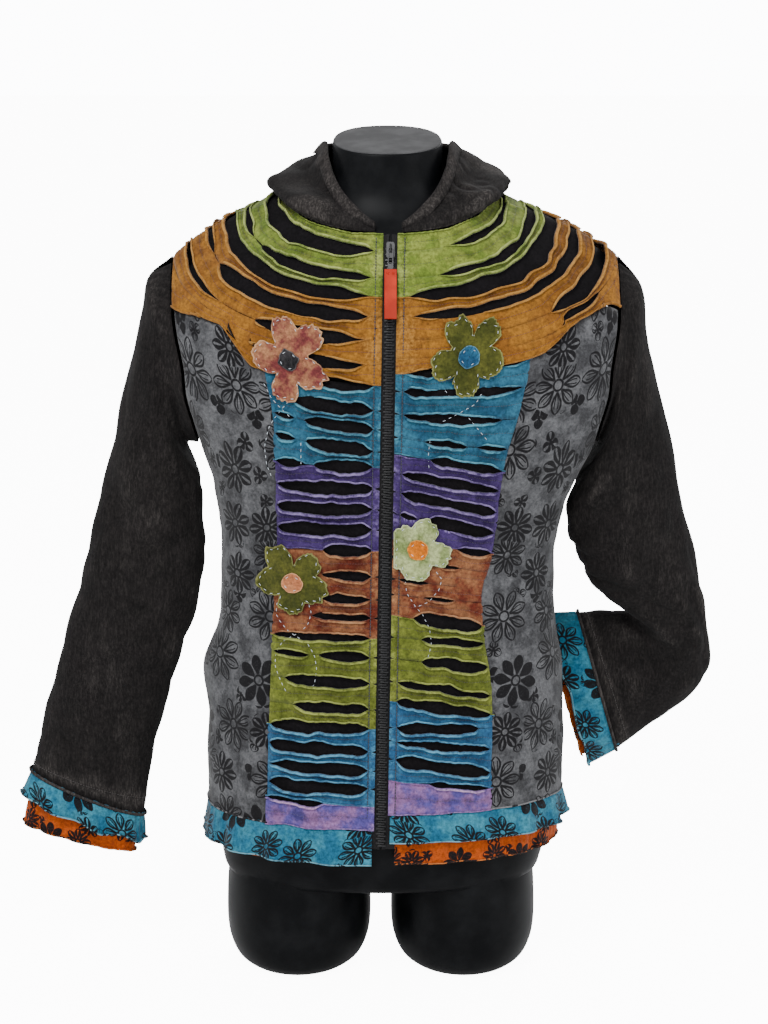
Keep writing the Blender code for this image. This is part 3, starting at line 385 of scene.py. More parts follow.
def add_node(tree, kind, values, **settings):
    node = tree.nodes.new(kind)
    for label, value in settings.items():
        setattr(node, label, value)
    for label, value in values.items():
        if isinstance(value, bpy.types.NodeSocket):
            tree.links.new(value, node.inputs[label])
        else:
            node.inputs[label].default_value = value
    return node


def calc(tree, operation, *values):
    node = add_node(tree, "ShaderNodeMath", dict(enumerate(values)), operation=operation)
    return node.outputs[0]


def soft_step(tree, value, low, high):
    node = add_node(tree, "ShaderNodeMapRange", {"Value": value, "From Min": low, "From Max": high},
                    interpolation_type="SMOOTHSTEP")
    return node.outputs["Result"]


def mix_colour(tree, share, first, second, blend="MIX"):
    node = add_node(tree, "ShaderNodeMix", {0: share, 6: first, 7: second}, data_type="RGBA",
                    blend_type=blend)
    return node.outputs[2]


def noise(tree, vector, scale, detail=3.0, rough=0.55):
    node = add_node(tree, "ShaderNodeTexNoise", {"Vector": vector, "Scale": scale, "Detail": detail,
                                                 "Roughness": rough})
    return node.outputs[0]


def new_finish(name):
    finish = bpy.data.materials.new(name)
    finish.use_nodes = True
    return finish, finish.node_tree, finish.node_tree.nodes["Principled BSDF"]


def add_bump(tree, shader, height, strength, distance):
    """A bump from a height socket, with its distance in mm."""
    bump = add_node(tree, "ShaderNodeBump", {"Height": height, "Strength": strength,
                                             "Distance": distance * MM})
    tree.links.new(bump.outputs["Normal"], shader.inputs["Normal"])


COLOUR = "NodeSocketColor"
FLOAT = "NodeSocketFloat"
WHITE = (1.0, 1.0, 1.0, 1.0)
# Painted shade: the tint that darkens the middles of open strips.
PAINTED_HOLLOW_SHADE = (0.30, 0.28, 0.30, 1.0)
print("Node helpers are ready")


# %% Knit ribs, the same in every jersey
def knit_group():
    group, entry, leave = new_group("Knit", (("Rib", FLOAT, 0.9),), (("Height", FLOAT),))
    place = add_node(group, "ShaderNodeTexCoord", {}).outputs["UV"]
    parts = add_node(group, "ShaderNodeSeparateXYZ", {"Vector": place}).outputs
    pace = calc(group, "DIVIDE", 1000 * math.pi, entry["Rib"])
    rib = calc(group, "ABSOLUTE", calc(group, "SINE", calc(group, "MULTIPLY", parts["X"], pace)))
    slope = calc(group, "ADD", calc(group, "MULTIPLY", parts["Y"], calc(group, "MULTIPLY", pace, 1.5)),
                 calc(group, "MULTIPLY", rib, 1.6))
    loop = calc(group, "MULTIPLY_ADD", calc(group, "SINE", slope), 0.25, 0.5)
    fuzz = noise(group, place, 900.0, 2.0)
    group.links.new(calc(group, "MULTIPLY_ADD", rib, loop, calc(group, "MULTIPLY", fuzz, 0.5)),
                    leave["Height"])
    return group


KNIT = knit_group()


# %% Dye that is uneven, pale raw edges partly painted as a highlight, and painted shade in hollows
def dye_and_painted_light_group():
    group, entry, leave = new_group(
        "Uneven dye and painted light",
        (("Colour", COLOUR, WHITE), ("Second dye", COLOUR, WHITE), ("Pale edge and highlight", COLOUR, WHITE),
         ("Patches", FLOAT, 0.5), ("Patch scale", FLOAT, 45.0)),
        (("Colour", COLOUR), ("Mottle", FLOAT)))
    place = add_node(group, "ShaderNodeTexCoord", {}).outputs["Object"]
    clouds = soft_step(group, noise(group, place, entry["Patch scale"], 5.0, 0.65), 0.38, 0.62)
    colour = mix_colour(group, calc(group, "MULTIPLY", clouds, entry["Patches"]), entry["Colour"],
                        entry["Second dye"])
    fine = noise(group, place, 330.0, 4.0, 0.7)
    shade = add_node(group, "ShaderNodeMapRange", {"Value": fine, "From Min": 0.25, "From Max": 0.75,
                                                   "To Min": 0.42, "To Max": 1.5}).outputs["Result"]
    grey = add_node(group, "ShaderNodeCombineColor", {"Red": shade, "Green": shade, "Blue": shade})
    colour = mix_colour(group, 1.0, colour, grey.outputs[0], "MULTIPLY")
    lip = add_node(group, "ShaderNodeAttribute", {}, attribute_name="lip").outputs["Fac"]
    # Painted shade: where the lip attribute is negative, down the middle of an open strip, the colour is
    # darkened towards the hollow tint.
    deep = calc(group, "MULTIPLY", soft_step(group, calc(group, "MULTIPLY", lip, -1.0), 0.0, 0.9), 0.6)
    painted_hollow_shade = mix_colour(group, 1.0, colour, PAINTED_HOLLOW_SHADE, "MULTIPLY")
    colour = mix_colour(group, deep, colour, painted_hollow_shade)
    # Pale raw edges: partly worn cloth, partly a painted highlight on the rolled lips.
    ragged = calc(group, "MULTIPLY_ADD", calc(group, "SUBTRACT", fine, 0.5), 1.3, lip)
    ragged = calc(group, "MULTIPLY_ADD", calc(group, "SUBTRACT", clouds, 0.5), 0.35, ragged)
    pale = calc(group, "MULTIPLY", soft_step(group, ragged, 0.35, 1.25), 0.8)
    group.links.new(mix_colour(group, pale, colour, entry["Pale edge and highlight"]), leave["Colour"])
    group.links.new(clouds, leave["Mottle"])
    return group


DYE_AND_PAINTED_LIGHT = dye_and_painted_light_group()


# %% Rubbed grey folds of the black cloth, with a painted highlight on their ridges
def rubbed_and_lit_group():
    group, entry, leave = new_group(
        "Rubbed folds and painted highlights",
        (("Colour", COLOUR, WHITE), ("Rubbed", COLOUR, WHITE), ("Amount", FLOAT, 0.5)),
        (("Colour", COLOUR), ("Rubbed", FLOAT)))
    place = add_node(group, "ShaderNodeTexCoord", {}).outputs["Object"]
    # The wear attribute is high on fold ridges: rubbed wear, and a painted highlight on the ridges.
    wear_and_highlight = add_node(group, "ShaderNodeAttribute", {}, attribute_name="wear_and_highlight").outputs["Fac"]
    streaks = add_node(group, "ShaderNodeMapping", {"Vector": place, "Scale": (1.0, 1.0, 0.22)}).outputs[0]
    broad = noise(group, streaks, 30.0, 5.0, 0.65)
    grain = noise(group, streaks, 520.0, 6.0, 0.85)
    # Painted highlight: the ground is lighter along the fold ridges, on top of broad patches of wear.
    ground = soft_step(group, calc(group, "MULTIPLY_ADD", wear_and_highlight, 0.40, broad), 0.45, 0.95)
    speck = soft_step(group, grain, 0.44, 0.66)
    mask = calc(group, "MULTIPLY_ADD", ground, 0.8, 0.24)
    mask = calc(group, "MULTIPLY", calc(group, "MULTIPLY", mask, speck), entry["Amount"])
    rubbed_and_lit = calc(group, "MULTIPLY_ADD", ground, 0.10, mask)
    group.links.new(mix_colour(group, rubbed_and_lit, entry["Colour"], entry["Rubbed"]), leave["Colour"])
    group.links.new(rubbed_and_lit, leave["Rubbed"])
    return group


RUBBED_AND_LIT = rubbed_and_lit_group()


# %% Printed flowers
def print_group():
    """Eight-petal line flowers, one in each Voronoi cell, turned and sized at random."""
    group, entry, leave = new_group(
        "Flower print",
        (("Flowers a metre", FLOAT, 30.0), ("Solid share", FLOAT, 0.3), ("Line", FLOAT, 0.022)),
        (("Ink", FLOAT),))
    place = add_node(group, "ShaderNodeTexCoord", {}).outputs["UV"]
    drift = add_node(group, "ShaderNodeTexNoise", {"Vector": place, "Scale": 60.0, "Detail": 1.0})
    bend = add_node(group, "ShaderNodeVectorMath", {0: drift.outputs["Color"], 1: (0.5, 0.5, 0.5)},
                    operation="SUBTRACT").outputs[0]
    bend = add_node(group, "ShaderNodeVectorMath", {0: bend, "Scale": 0.0015}, operation="SCALE").outputs[0]
    place = add_node(group, "ShaderNodeVectorMath", {0: place, 1: bend}, operation="ADD").outputs[0]

    def flowers(scale, reach, petals, line, heart):
        """Ink of one daisy a cell, and 1 where the cell is free of it."""
        sized = add_node(group, "ShaderNodeVectorMath", {0: place, "Scale": scale}, operation="SCALE")
        cells = add_node(group, "ShaderNodeTexVoronoi",
                         {"Vector": sized.outputs[0], "Scale": 1.0, "Randomness": 0.55},
                         voronoi_dimensions="2D")
        local = add_node(group, "ShaderNodeVectorMath",
                         {0: sized.outputs[0], 1: cells.outputs["Position"]}, operation="SUBTRACT")
        parts = add_node(group, "ShaderNodeSeparateXYZ", {"Vector": local.outputs[0]}).outputs
        luck = add_node(group, "ShaderNodeSeparateColor", {"Color": cells.outputs["Color"]}).outputs
        turn = calc(group, "ARCTAN2", parts["Y"], parts["X"])
        turn = calc(group, "MULTIPLY_ADD", luck["Red"], 6.283, turn)
        radius = add_node(group, "ShaderNodeVectorMath", {0: local.outputs[0]},
                          operation="LENGTH").outputs["Value"]
        tip = calc(group, "MULTIPLY", calc(group, "MULTIPLY_ADD", luck["Blue"], 0.35, 0.75), reach)
        start = calc(group, "MULTIPLY", tip, heart)
        place_out = calc(group, "DIVIDE", calc(group, "SUBTRACT", radius, start),
                         calc(group, "SUBTRACT", tip, start))
        within = calc(group, "COMPARE", place_out, 0.5, 0.5)
        swell = calc(group, "POWER", calc(group, "SINE", calc(group, "MULTIPLY", place_out, math.pi)), 0.85)
        swell = calc(group, "MULTIPLY", calc(group, "MULTIPLY", swell, within), 0.72)
        aside = calc(group, "PINGPONG", calc(group, "MULTIPLY", turn, petals / 2 / math.pi), 0.5)
        aside = calc(group, "MULTIPLY", aside, 2.0)
        off = calc(group, "ABSOLUTE", calc(group, "SUBTRACT", aside, swell))
        off = calc(group, "MULTIPLY", calc(group, "MULTIPLY", off, radius), math.pi / petals)
        faint = soft_step(group, off, calc(group, "MULTIPLY", line, 0.55), line)
        outline = calc(group, "MULTIPLY", calc(group, "SUBTRACT", 1.0, faint), within)
        inner = calc(group, "ABSOLUTE", calc(group, "MULTIPLY_ADD", swell, -0.42, aside))
        inner = calc(group, "MULTIPLY", calc(group, "MULTIPLY", inner, radius), math.pi / petals)
        inner = calc(group, "MULTIPLY", calc(group, "LESS_THAN", inner, calc(group, "MULTIPLY", line, 0.4)),
                     calc(group, "COMPARE", place_out, 0.45, 0.32))
        chosen = calc(group, "LESS_THAN", luck["Green"], entry["Solid share"])
        solid = calc(group, "LESS_THAN", aside, calc(group, "MULTIPLY", swell, 0.8))
        loop = calc(group, "GREATER_THAN", aside, calc(group, "MULTIPLY", swell, 0.42))
        loop = calc(group, "MAXIMUM", loop, calc(group, "GREATER_THAN", luck["Blue"], 0.5))
        solid = calc(group, "MULTIPLY", calc(group, "MULTIPLY", solid, within), chosen)
        solid = calc(group, "MULTIPLY", solid, loop)
        ring = calc(group, "ABSOLUTE", calc(group, "MULTIPLY_ADD", start, -0.8, radius))
        core = calc(group, "LESS_THAN", ring, calc(group, "MULTIPLY", line, 0.7))
        drawn = calc(group, "MAXIMUM", outline, inner)
        ink = calc(group, "MAXIMUM", drawn, calc(group, "MAXIMUM", core, solid))
        return ink, calc(group, "GREATER_THAN", radius, tip), luck["Green"]

    main, free, _ = flowers(entry["Flowers a metre"], 0.5, 8, entry["Line"], 0.24)
    small, _, luck = flowers(calc(group, "MULTIPLY", entry["Flowers a metre"], 2.1), 0.42, 3,
                             calc(group, "MULTIPLY", entry["Line"], 2.0), 0.1)
    small = calc(group, "MULTIPLY", small, calc(group, "LESS_THAN", luck, 0.5))
    ink = calc(group, "MAXIMUM", main, calc(group, "MULTIPLY", small, free))
    worn = soft_step(group, noise(group, place, 500.0, 3.0, 0.7), 0.25, 0.5)
    worn = calc(group, "MULTIPLY_ADD", worn, 0.25, 0.75)
    group.links.new(calc(group, "MULTIPLY", ink, worn), leave["Ink"])
    return group


PRINT = print_group()
print("Shader groups:", [group.name for group in (KNIT, DYE_AND_PAINTED_LIGHT, RUBBED_AND_LIT, PRINT)])

# %% [markdown]
# ## Finishes
# A cloth material starts with the dye group, which also paints the highlight on pale edges
# and the shade in hollows, takes the print or the rubbed folds with their painted ridge highlight
# on top, and ends in a Principled shader with a soft sheen, a high roughness and the knit as a bump.

# %% Cloth materials
INK = (0.0045, 0.0042, 0.005, 1.0)
CLOTH_ROUGH = 0.86
KNIT_RIB = 0.9


def group_node(tree, group, values):
    return add_node(tree, "ShaderNodeGroup", values, node_tree=group).outputs


def cloth_finish(name, colour, second, pale, patches=0.6, rubbed_and_lit=None, printed=None, sheen=0.10):
    """A jersey. The argument rubbed is a colour and an amount, for grey worn into the folds and a painted
    highlight on their ridges; printed is flowers a metre, solid share, line.
    """
    finish, tree, shader = new_finish(name)
    dyed_with_painted_light = group_node(tree, DYE_AND_PAINTED_LIGHT, {"Colour": (*colour, 1.0), "Second dye": (*second, 1.0),
                                  "Pale edge and highlight": (*pale, 1.0), "Patches": patches})
    result = dyed_with_painted_light["Colour"]
    if printed:
        ink = group_node(tree, PRINT, dict(zip(("Flowers a metre", "Solid share", "Line"), printed)))
        result = mix_colour(tree, ink["Ink"], result, INK)
    if rubbed_and_lit:
        worn = group_node(tree, RUBBED_AND_LIT, {"Colour": result, "Rubbed": (*rubbed_and_lit[0], 1.0), "Amount": rubbed_and_lit[1]})
        result = worn["Colour"]
    tree.links.new(result, shader.inputs["Base Color"])
    rough = calc(tree, "MULTIPLY_ADD", dyed_with_painted_light["Mottle"], 0.08, CLOTH_ROUGH - 0.04)
    tree.links.new(rough, shader.inputs["Roughness"])
    knit = group_node(tree, KNIT, {"Rib": KNIT_RIB})
    add_bump(tree, shader, knit["Height"], 0.35, 0.35)
    shader.inputs["Sheen Weight"].default_value = sheen
    shader.inputs["Sheen Roughness"].default_value = 0.5
    shader.inputs["Specular IOR Level"].default_value = 0.05
    return finish


# The third colour of each cloth is its pale edge, which also serves as a painted highlight on the rolled
# lips.
CLOTHS = {
    "underlay": cloth_finish("black backing jersey", (0.004, 0.0035, 0.004), (0.007, 0.006, 0.007),
                             (0.02, 0.02, 0.02), sheen=0.01),
    "green": cloth_finish("green jersey", (0.085, 0.125, 0.016), (0.20, 0.23, 0.045), (0.28, 0.32, 0.10)),
    "orange": cloth_finish("orange jersey", (0.215, 0.090, 0.012), (0.105, 0.036, 0.007),
                           (0.37, 0.19, 0.045)),
    "blue": cloth_finish("blue jersey", (0.012, 0.050, 0.090), (0.030, 0.120, 0.180), (0.085, 0.27, 0.34)),
    "purple": cloth_finish("purple jersey", (0.026, 0.013, 0.065), (0.060, 0.036, 0.125),
                           (0.22, 0.17, 0.33)),
    "rust": cloth_finish("rust jersey", (0.082, 0.014, 0.007), (0.205, 0.088, 0.038), (0.34, 0.175, 0.080),
                         patches=0.85),
    "olive": cloth_finish("olive jersey", (0.065, 0.080, 0.010), (0.15, 0.17, 0.030), (0.25, 0.28, 0.07)),
    "lake": cloth_finish("lake blue jersey", (0.013, 0.056, 0.125), (0.035, 0.125, 0.215),
                         (0.095, 0.29, 0.41)),
    "lilac": cloth_finish("lilac jersey", (0.19, 0.095, 0.22), (0.050, 0.045, 0.19), (0.44, 0.28, 0.42),
                          patches=0.9),
    "grey_print": cloth_finish("grey printed jersey", (0.080, 0.081, 0.085), (0.020, 0.020, 0.022),
                               (0.17, 0.17, 0.175), printed=(18.5, 0.28, 0.028), patches=0.8),
    "stonewash": cloth_finish("stonewashed black jersey", (0.0050, 0.0045, 0.0045),
                              (0.009, 0.0078, 0.0078), (0.035, 0.031, 0.030),
                              rubbed_and_lit=((0.070, 0.062, 0.058), 0.62), sheen=0.02),
    "blue_print": cloth_finish("blue printed jersey", (0.010, 0.080, 0.14), (0.035, 0.17, 0.23),
                               (0.14, 0.32, 0.38), printed=(21.0, 0.35, 0.030), patches=0.8),
    "orange_print": cloth_finish("orange printed jersey", (0.32, 0.052, 0.004), (0.19, 0.028, 0.003),
                                 (0.42, 0.13, 0.025), printed=(27.0, 0.7, 0.040)),
    "pink": cloth_finish("pink and peach jersey", (0.105, 0.022, 0.022), (0.27, 0.125, 0.060),
                         (0.42, 0.25, 0.13), patches=0.95),
    "moss": cloth_finish("moss green jersey", (0.030, 0.034, 0.006), (0.085, 0.085, 0.016),
                         (0.19, 0.19, 0.06)),
    "pale_green": cloth_finish("pale green jersey", (0.13, 0.17, 0.055), (0.31, 0.35, 0.16),
                               (0.42, 0.45, 0.26), patches=0.9),
}
print("Cloths:", ", ".join(CLOTHS))

# %% [markdown]
# ## Slashed cloth
# The maker slits the upper layer along lines and lets it gape. Jersey that is cut rolls
# towards its face, so each strip has two rolled lips with a line of machine stitches in the
# middle. The strips are made as grids of their own: 4 points round each lip and 5 between.
# Where a slit closes the lips shrink to nothing and the strips are welded together.

# %% Strips with rolled lips
ROLL = 1.35
ROLL_TURNS = np.radians((200, 140, 75, 0))
MIDDLE_SHARES = np.array((0.55, 0.14, 0.0, -0.14, -0.55))
LIP_OPENING = 6.0
NOTCH_GAPE = 3.4
SEWN = []
STITCH_IN = 7.0
# Name, place across, height, radius and lift in mm, cloth.
FLOWERS = (
    ("chest_left", -96, 656, 38, 5.4, "pink"), ("chest_right", 79, 664, 39, 4.9, "moss"),
    ("belly_left", -94, 436, 37, 4.5, "moss"), ("belly_right", 30, 474, 33, 4.5, "pale_green"),
)


def lens(column, first, last):
    """How far a slit stands open at a column, from 0 at its ends to 1."""
    share = np.clip((column - first) / (last - first), 0.0, 1.0)
    near = np.clip((column - first) / min(1.5, 0.4 * (last - first)), 0, 1)
    far = np.clip((last - column) / min(2.4, 0.4 * (last - first)), 0, 1)
    middle = 0.8 + 0.2 * np.sin(math.pi * share)
    return middle * np.sin(math.pi / 2 * near) ** 0.85 * np.sqrt(far * (2 - far))


def clear_of_flowers(points):
    """0 under a sewn-on flower, where the strips are held flat, and 1 beyond it."""
    clear = np.ones(points.shape[:-1])
    for _, across, height, radius, *_ in FLOWERS:
        middle = body_point(float(height), angle_at(float(height), float(across)))
        away = np.linalg.norm(points - middle, axis=-1)
        clear = np.minimum(clear, np.clip((away - radius) / 9.0, 0.0, 1.0))
    return clear


def strip_grid(top, bottom, opens, columns, place, seed, thread):
    """Points, UV and lips of one strip between two edges, each open by a share."""
    rng = np.random.default_rng(seed)
    middle = (top + bottom) / 2
    half = np.maximum((top - bottom) / 2, 1.0)
    flat = clear_of_flowers(place(middle, columns, OVER_LIFT))
    rolls = [np.minimum(ROLL * share * flat, 0.45 * half) for share in opens]
    rows, lifts, runs, lips = [], [], [], []
    for way, roll, share in ((1, rolls[0], opens[0]), (-1, rolls[1], opens[1])):
        for turn in ROLL_TURNS[::way]:
            rows.append(way * (half - roll + roll * np.sin(turn)))
            lifts.append(roll * (1 - np.cos(turn)))
            runs.append(way * (half - roll + roll * turn))
            # Paler towards the outer turn of the roll: worn edge and a painted highlight where the roll
            # faces out.
            lips.append(share * (0.15 + 0.85 * np.clip((turn - 1.2) / 1.6, 0, 1)))
        if way > 0:
            for share_out in MIDDLE_SHARES:
                rows.append(share_out * (half - rolls[0 if share_out > 0 else 1]))
                lifts.append(np.zeros_like(half))
                runs.append(rows[-1])
                lips.append(np.zeros_like(half))
    rows, lifts, runs, lips = (np.array(values) for values in (rows, lifts, runs, lips))
    openness = (opens[0] + opens[1]) / 2 * flat
    crown = 1.7 * openness * (1 - np.clip(np.abs(rows / half), 0, 1) ** 2)
    stitch_dip = 0.8 * np.exp(-(rows / 1.2) ** 2) * (0.5 + 0.5 * flat)
    length = run_along(place(middle, columns, 0.0))
    spots = joined(length, middle)
    sway = 1.0 * uneven(spots, 55.0, seed) * openness
    pucker = 0.30 * uneven(np.stack((length, length * 0), -1), 7.5, seed + 7) * np.exp(-(rows / 3.5) ** 2)
    shift = 1.1 * uneven(spots, 44.0, seed + 3) * openness
    groove = 1.3 * np.exp(-((length - STITCH_IN) / 0.9) ** 2) if columns[0] == 0 else 0.0
    lift = OVER_LIFT + lifts + crown - stitch_dip + sway + pucker - groove
    points = place(middle + rows + shift, columns, lift)
    # Painted shade: a mask down the middle of each open strip, taken off the lips, darkens the colour there.
    painted_hollow_shade = np.exp(-(rows / (0.45 * half)) ** 2) * openness * (1 + 0.6 * uneven(spots, 25.0, seed + 5))
    lips = np.maximum(lips, 0.62 * np.clip(1.15 - columns / 1.2, 0, 1)) - 0.8 * painted_hollow_shade
    uv = joined(length + 3.1 * seed, middle + runs) * MM
    sewn_row = len(ROLL_TURNS) + 2
    above = place(middle + rows[sewn_row] + shift, columns, lift[sewn_row] + 1.0)
    SEWN.append((points[sewn_row], above - points[sewn_row], thread, 2.6 + 0.2 * rng.random()))
    return points, uv, lips, np.zeros_like(lips)


def slashed_blocks(lines, columns, slits, place, seed, notch=None, thread="dark"):
    """Blocks of all strips between lines. Slits are rows of line, first, last and opening."""
    spots = np.stack((columns * 9.0, columns * 0), -1)
    openings = []
    for number in range(len(lines)):
        gape = np.zeros_like(columns)
        for at, first, last, opening in slits:
            if at == number:
                ragged = 1 + 0.10 * uneven(spots, 28.0, seed + 31 * number + int(opening))
                gape = np.maximum(gape, opening * lens(columns, first, last) * ragged)
        if notch and 0 < number < len(lines) - 1:
            gape = np.maximum(gape, NOTCH_GAPE * np.clip(1 - columns / notch, 0, 1))
        openings.append(gape)
    blocks = []
    for strip in range(len(lines) - 1):
        wobble = [0.35 * uneven(spots, 11.0, seed + 13 * (strip + end)) for end in (0, 1)]
        edges = [lines[strip + end] for end in (0, 1)]
        opens = [np.clip(openings[strip + end] / LIP_OPENING, 0.0, 1.0) for end in (0, 1)]
        for end, outer in ((0, strip == 0), (1, strip == len(lines) - 2)):
            if outer:
                opens[end] = np.maximum(opens[end], 0.55)
        top = edges[0] - openings[strip] / 2 + wobble[0] * opens[0]
        bottom = edges[1] + openings[strip + 1] / 2 + wobble[1] * opens[1]
        blocks.append(strip_grid(top, bottom, opens, columns, place, seed + 17 * strip, thread))
    return blocks


print("Points across a strip:", 2 * len(ROLL_TURNS) + len(MIDDLE_SHARES))

# %% [markdown]
# ## The yoke
# The yoke is cut in rings round the neck: three green strips inside and four orange ones
# outside. The slits start near the zip, run over the shoulder and close on the back.

# %% Yoke lines and slits
GREEN_LINES = (784, 768, 743, 725)
ORANGE_LINES = (725, 706, 684)
YOKE_FLARE = 1.3
YOKE_FRONT = 12
YOKE_BACK = 8
LOW_SLITS = 0.55
SLIT_START = 0.45
YOKE_SLITS = {
    -1: {"green": ((1, 1, 14, 15), (2, 1, 8, 11), (2, 9, 14, 6)),
         "orange": ((0, 1, 13, 13), (1, 1, 9, 15), (1, 10, 14, 6), (2, 1, 5, 13), (2, 7, 13, 6),
                    (3, 1, 5, 13), (4, 0.3, 4.6, 13))},
    1: {"green": ((1, 3, 14, 6), (2, 2, 14, 8)),
        "orange": ((0, 1, 14, 14), (1, 1, 14, 8), (2, 6, 14, 13), (3, 6, 9, 6), (4, 0.3, 2.6, 9))},
}


def yoke_angle(side, height, column, behind=False):
    """Angle of a yoke column: 0 to 12 in front of the shoulder, 12 to 20 behind it."""
    if not behind:
        start = front_angle(side, height, PANEL_EDGE)
        return side * (start + (side_angle(height) - start) * column / YOKE_FRONT)
    share = (column - YOKE_FRONT) / YOKE_BACK
    begin = math.pi - side_angle(height)
    end = math.pi - share_angle(SEAM / half_width(height))
    return side * (begin + (end - begin) * share)


def yoke_edge_height(side, column):
    """Height at which a yoke column meets the lower edge, by halving."""
    low = np.full_like(column, YOKE_BOTTOM[-1])
    high = np.full_like(column, YOKE_BOTTOM[1] + YOKE_PEAK)
    for _ in range(18):
        middle = (low + high) / 2
        start = yoke_share_angle(side, middle, 0.0)
        whole = yoke_share_angle(side, middle, 1.0) - start
        under = middle < yoke_edge(side, (side * yoke_angle(side, middle, column) - start) / whole)
        low = np.where(under, middle, low)
        high = np.where(under, high, middle)
    return middle


def yoke_blocks(side, lines_at, slits, flare, seed):
    """Front and back blocks of one ring. lines_at gives the lines from columns and edge."""
    slits = [(at, SLIT_START if first == 1 else first, last, opening) for at, first, last, opening in slits]
    blocks = []
    for columns, behind in ((np.linspace(0, YOKE_FRONT, 104), False),
                            (np.linspace(YOKE_FRONT, YOKE_FRONT + YOKE_BACK, 46), True)):
        if behind:
            edge = np.full_like(columns, YOKE_BOTTOM[-1])
        else:
            edge = yoke_edge_height(side, columns)
        lines = lines_at(columns, edge)

        def place(height, column, lift, behind=behind, lines=lines):
            if flare:
                shares = np.clip((lines[2] - height) / np.maximum(lines[2] - lines[-1], 1.0), 0, 1)
                flared = shares * YOKE_FLARE
            else:
                gathers = 0.55 * np.exp(-((GREEN_LINES[0] - height) / 5.0) ** 2) * np.sin(column * 13.6)
                flared = gathers * np.clip(column - 0.8, 0, 1)
            return body_point(height, yoke_angle(side, height, column, behind), lift + flared)

        blocks += slashed_blocks(lines, columns, slits, place, seed, thread="wine" if flare else "dark")
    return blocks


def green_lines(columns, edge):
    return [np.full_like(columns, height) for height in GREEN_LINES[:-1]] + [
        np.full_like(columns, GREEN_LINES[-1] + SEAM)]


def orange_lines(columns, edge):
    lines = [np.full_like(columns, height) for height in ORANGE_LINES]
    lines[0] = lines[0] - SEAM
    return lines + [lines[2] + (edge - lines[2]) * LOW_SLITS, edge]


# %% Build the yoke
for side, word in SIDES:
    shared = tuple((3, *slit[1:]) for slit in YOKE_SLITS[side]["orange"] if slit[0] == 0)
    green = yoke_blocks(side, green_lines, YOKE_SLITS[side]["green"] + shared, False, 100 + side)
    sew(f"yoke_green_strips_{word}", f"yoke_green_{word}", "green", "draped", green, side < 0, *STRIP)
    orange = yoke_blocks(side, orange_lines, YOKE_SLITS[side]["orange"], True, 200 + side)
    sew(f"yoke_orange_strips_{word}", f"yoke_orange_{word}", "orange", "draped", orange, side < 0, *STRIP)


# %% Black cloth under the yoke
def one_block(points, lip=0.0, wear_and_highlight=0.0):
    return [(points, grid_uv(points), lip, wear_and_highlight)]


def build_yoke_backing(side, word):
    columns = np.linspace(0, YOKE_FRONT + 2, 60)
    front = columns[columns <= YOKE_FRONT]
    behind = columns[columns > YOKE_FRONT]
    grids = []
    for part, back in ((front, False), (behind, True)):
        edge = np.full_like(part, YOKE_BOTTOM[-1] + 20) if back else yoke_edge_height(side, part)
        shares = np.linspace(0, 1, 34)[:, None]
        bottom = np.where(part > 10.5, 690.0, edge + 5.0)
        heights = GREEN_LINES[0] + (bottom - GREEN_LINES[0]) * shares
        angles = yoke_angle(side, heights, part, back)
        if not back:
            angles[:, 0] = side * front_angle(side, heights[:, 0], UNDER_START)
        spots = joined(part * 15.0, heights)
        grids.append(body_point(heights, angles, 0.25 * uneven(spots, 50.0, 5)))
    blocks = one_block(np.concatenate(grids, axis=1))
    sew(f"yoke_backing_{word}", f"yoke_underlay_{word}", "underlay", "draped", blocks, side < 0, THIN)


for side, word in SIDES:
    build_yoke_backing(side, word)

# %% [markdown]
# ## The centre front
# Six coloured bands run down each side of the zip. The slits of one side don't mirror the
# other, so each side has its own table: the height of a slit at the zip, the columns where
# it starts and ends, how wide it stands open, and how far it drops towards the side.

# %% Bands and slits of the centre front
BANDS = (("blue", 640, 652), ("purple", 558, 573), ("rust", 472, 485), ("olive", 381, 406),
         ("lake", 287, 317), ("lilac", 206, 234))
PANEL_COLUMNS = 13
PANEL_NOTCH = 0.72
PANEL_TUCK = 12.6
SLITS = {
    -1: ((640, 1, 9, 12, 0), (615, 1, 10, 14, -4), (596, 1, 9, 13, -6), (596, 10, 12, 6, -6),
         (574, 1, 9, 14, -8), (574, 10, 12, 8, -8),
         (558, 1, 8, 12, 0), (558, 9, 12, 6, 0), (536, 1, 12, 14, -1), (515, 1, 12, 14, 0),
         (494, 1, 12, 15, 1),
         (472, 1, 7, 12, 0), (445, 1, 7, 11, -3), (421, 1, 7, 10, -2), (402, 1, 8, 9, -2),
         (381, 1, 12, 8, 0), (361, 1, 7, 11, -2), (361, 8, 12, 7, -2), (334, 1, 11, 12, -3),
         (307, 1, 10, 12, -3),
         (287, 1, 12, 12, 0), (263, 1, 12, 14, -4), (243, 1, 12, 13, -3), (224, 1, 12, 13, -2),
         (206, 6, 12, 8, -4)),
    1: ((652, 1, 5, 8, 0), (652, 8, 12, 5, 0), (634, 1, 12, 8, 8), (612, 1, 11, 9, 16),
        (589, 3, 8, 9, 20), (589, 9, 12, 6, 20),
        (573, 4, 12, 8, 24), (554, 1, 12, 10, 24), (534, 1, 12, 12, 26), (512, 1, 3, 8, 26),
        (512, 4, 12, 14, 26),
        (485, 8, 12, 8, 20), (466, 4, 9, 5, 20), (443, 1, 5, 5, 14), (427, 4, 9, 5, 12),
        (406, 3, 12, 14, 16), (383, 4, 12, 10, 11), (361, 4, 12, 12, 14), (337, 1, 12, 9, 20),
        (317, 1, 12, 12, 20), (289, 1, 11, 11, 6), (275, 1, 12, 9, 14), (256, 1, 12, 14, 20),
        (234, 5, 12, 6, 14)),
}


def centre_place(side):
    """Points of the centre front at a height, a column from the zip and a lift."""
    def place(height, column, lift):
        outer = princess(side, height) + PANEL_OVERLAP
        out = PANEL_EDGE + (outer - PANEL_EDGE) * column / PANEL_COLUMNS
        tucked = np.clip((column - PANEL_TUCK) / 0.4, 0, 1) * 0.9
        return body_point(height, side * front_angle(side, height, out), lift - tucked)
    return place


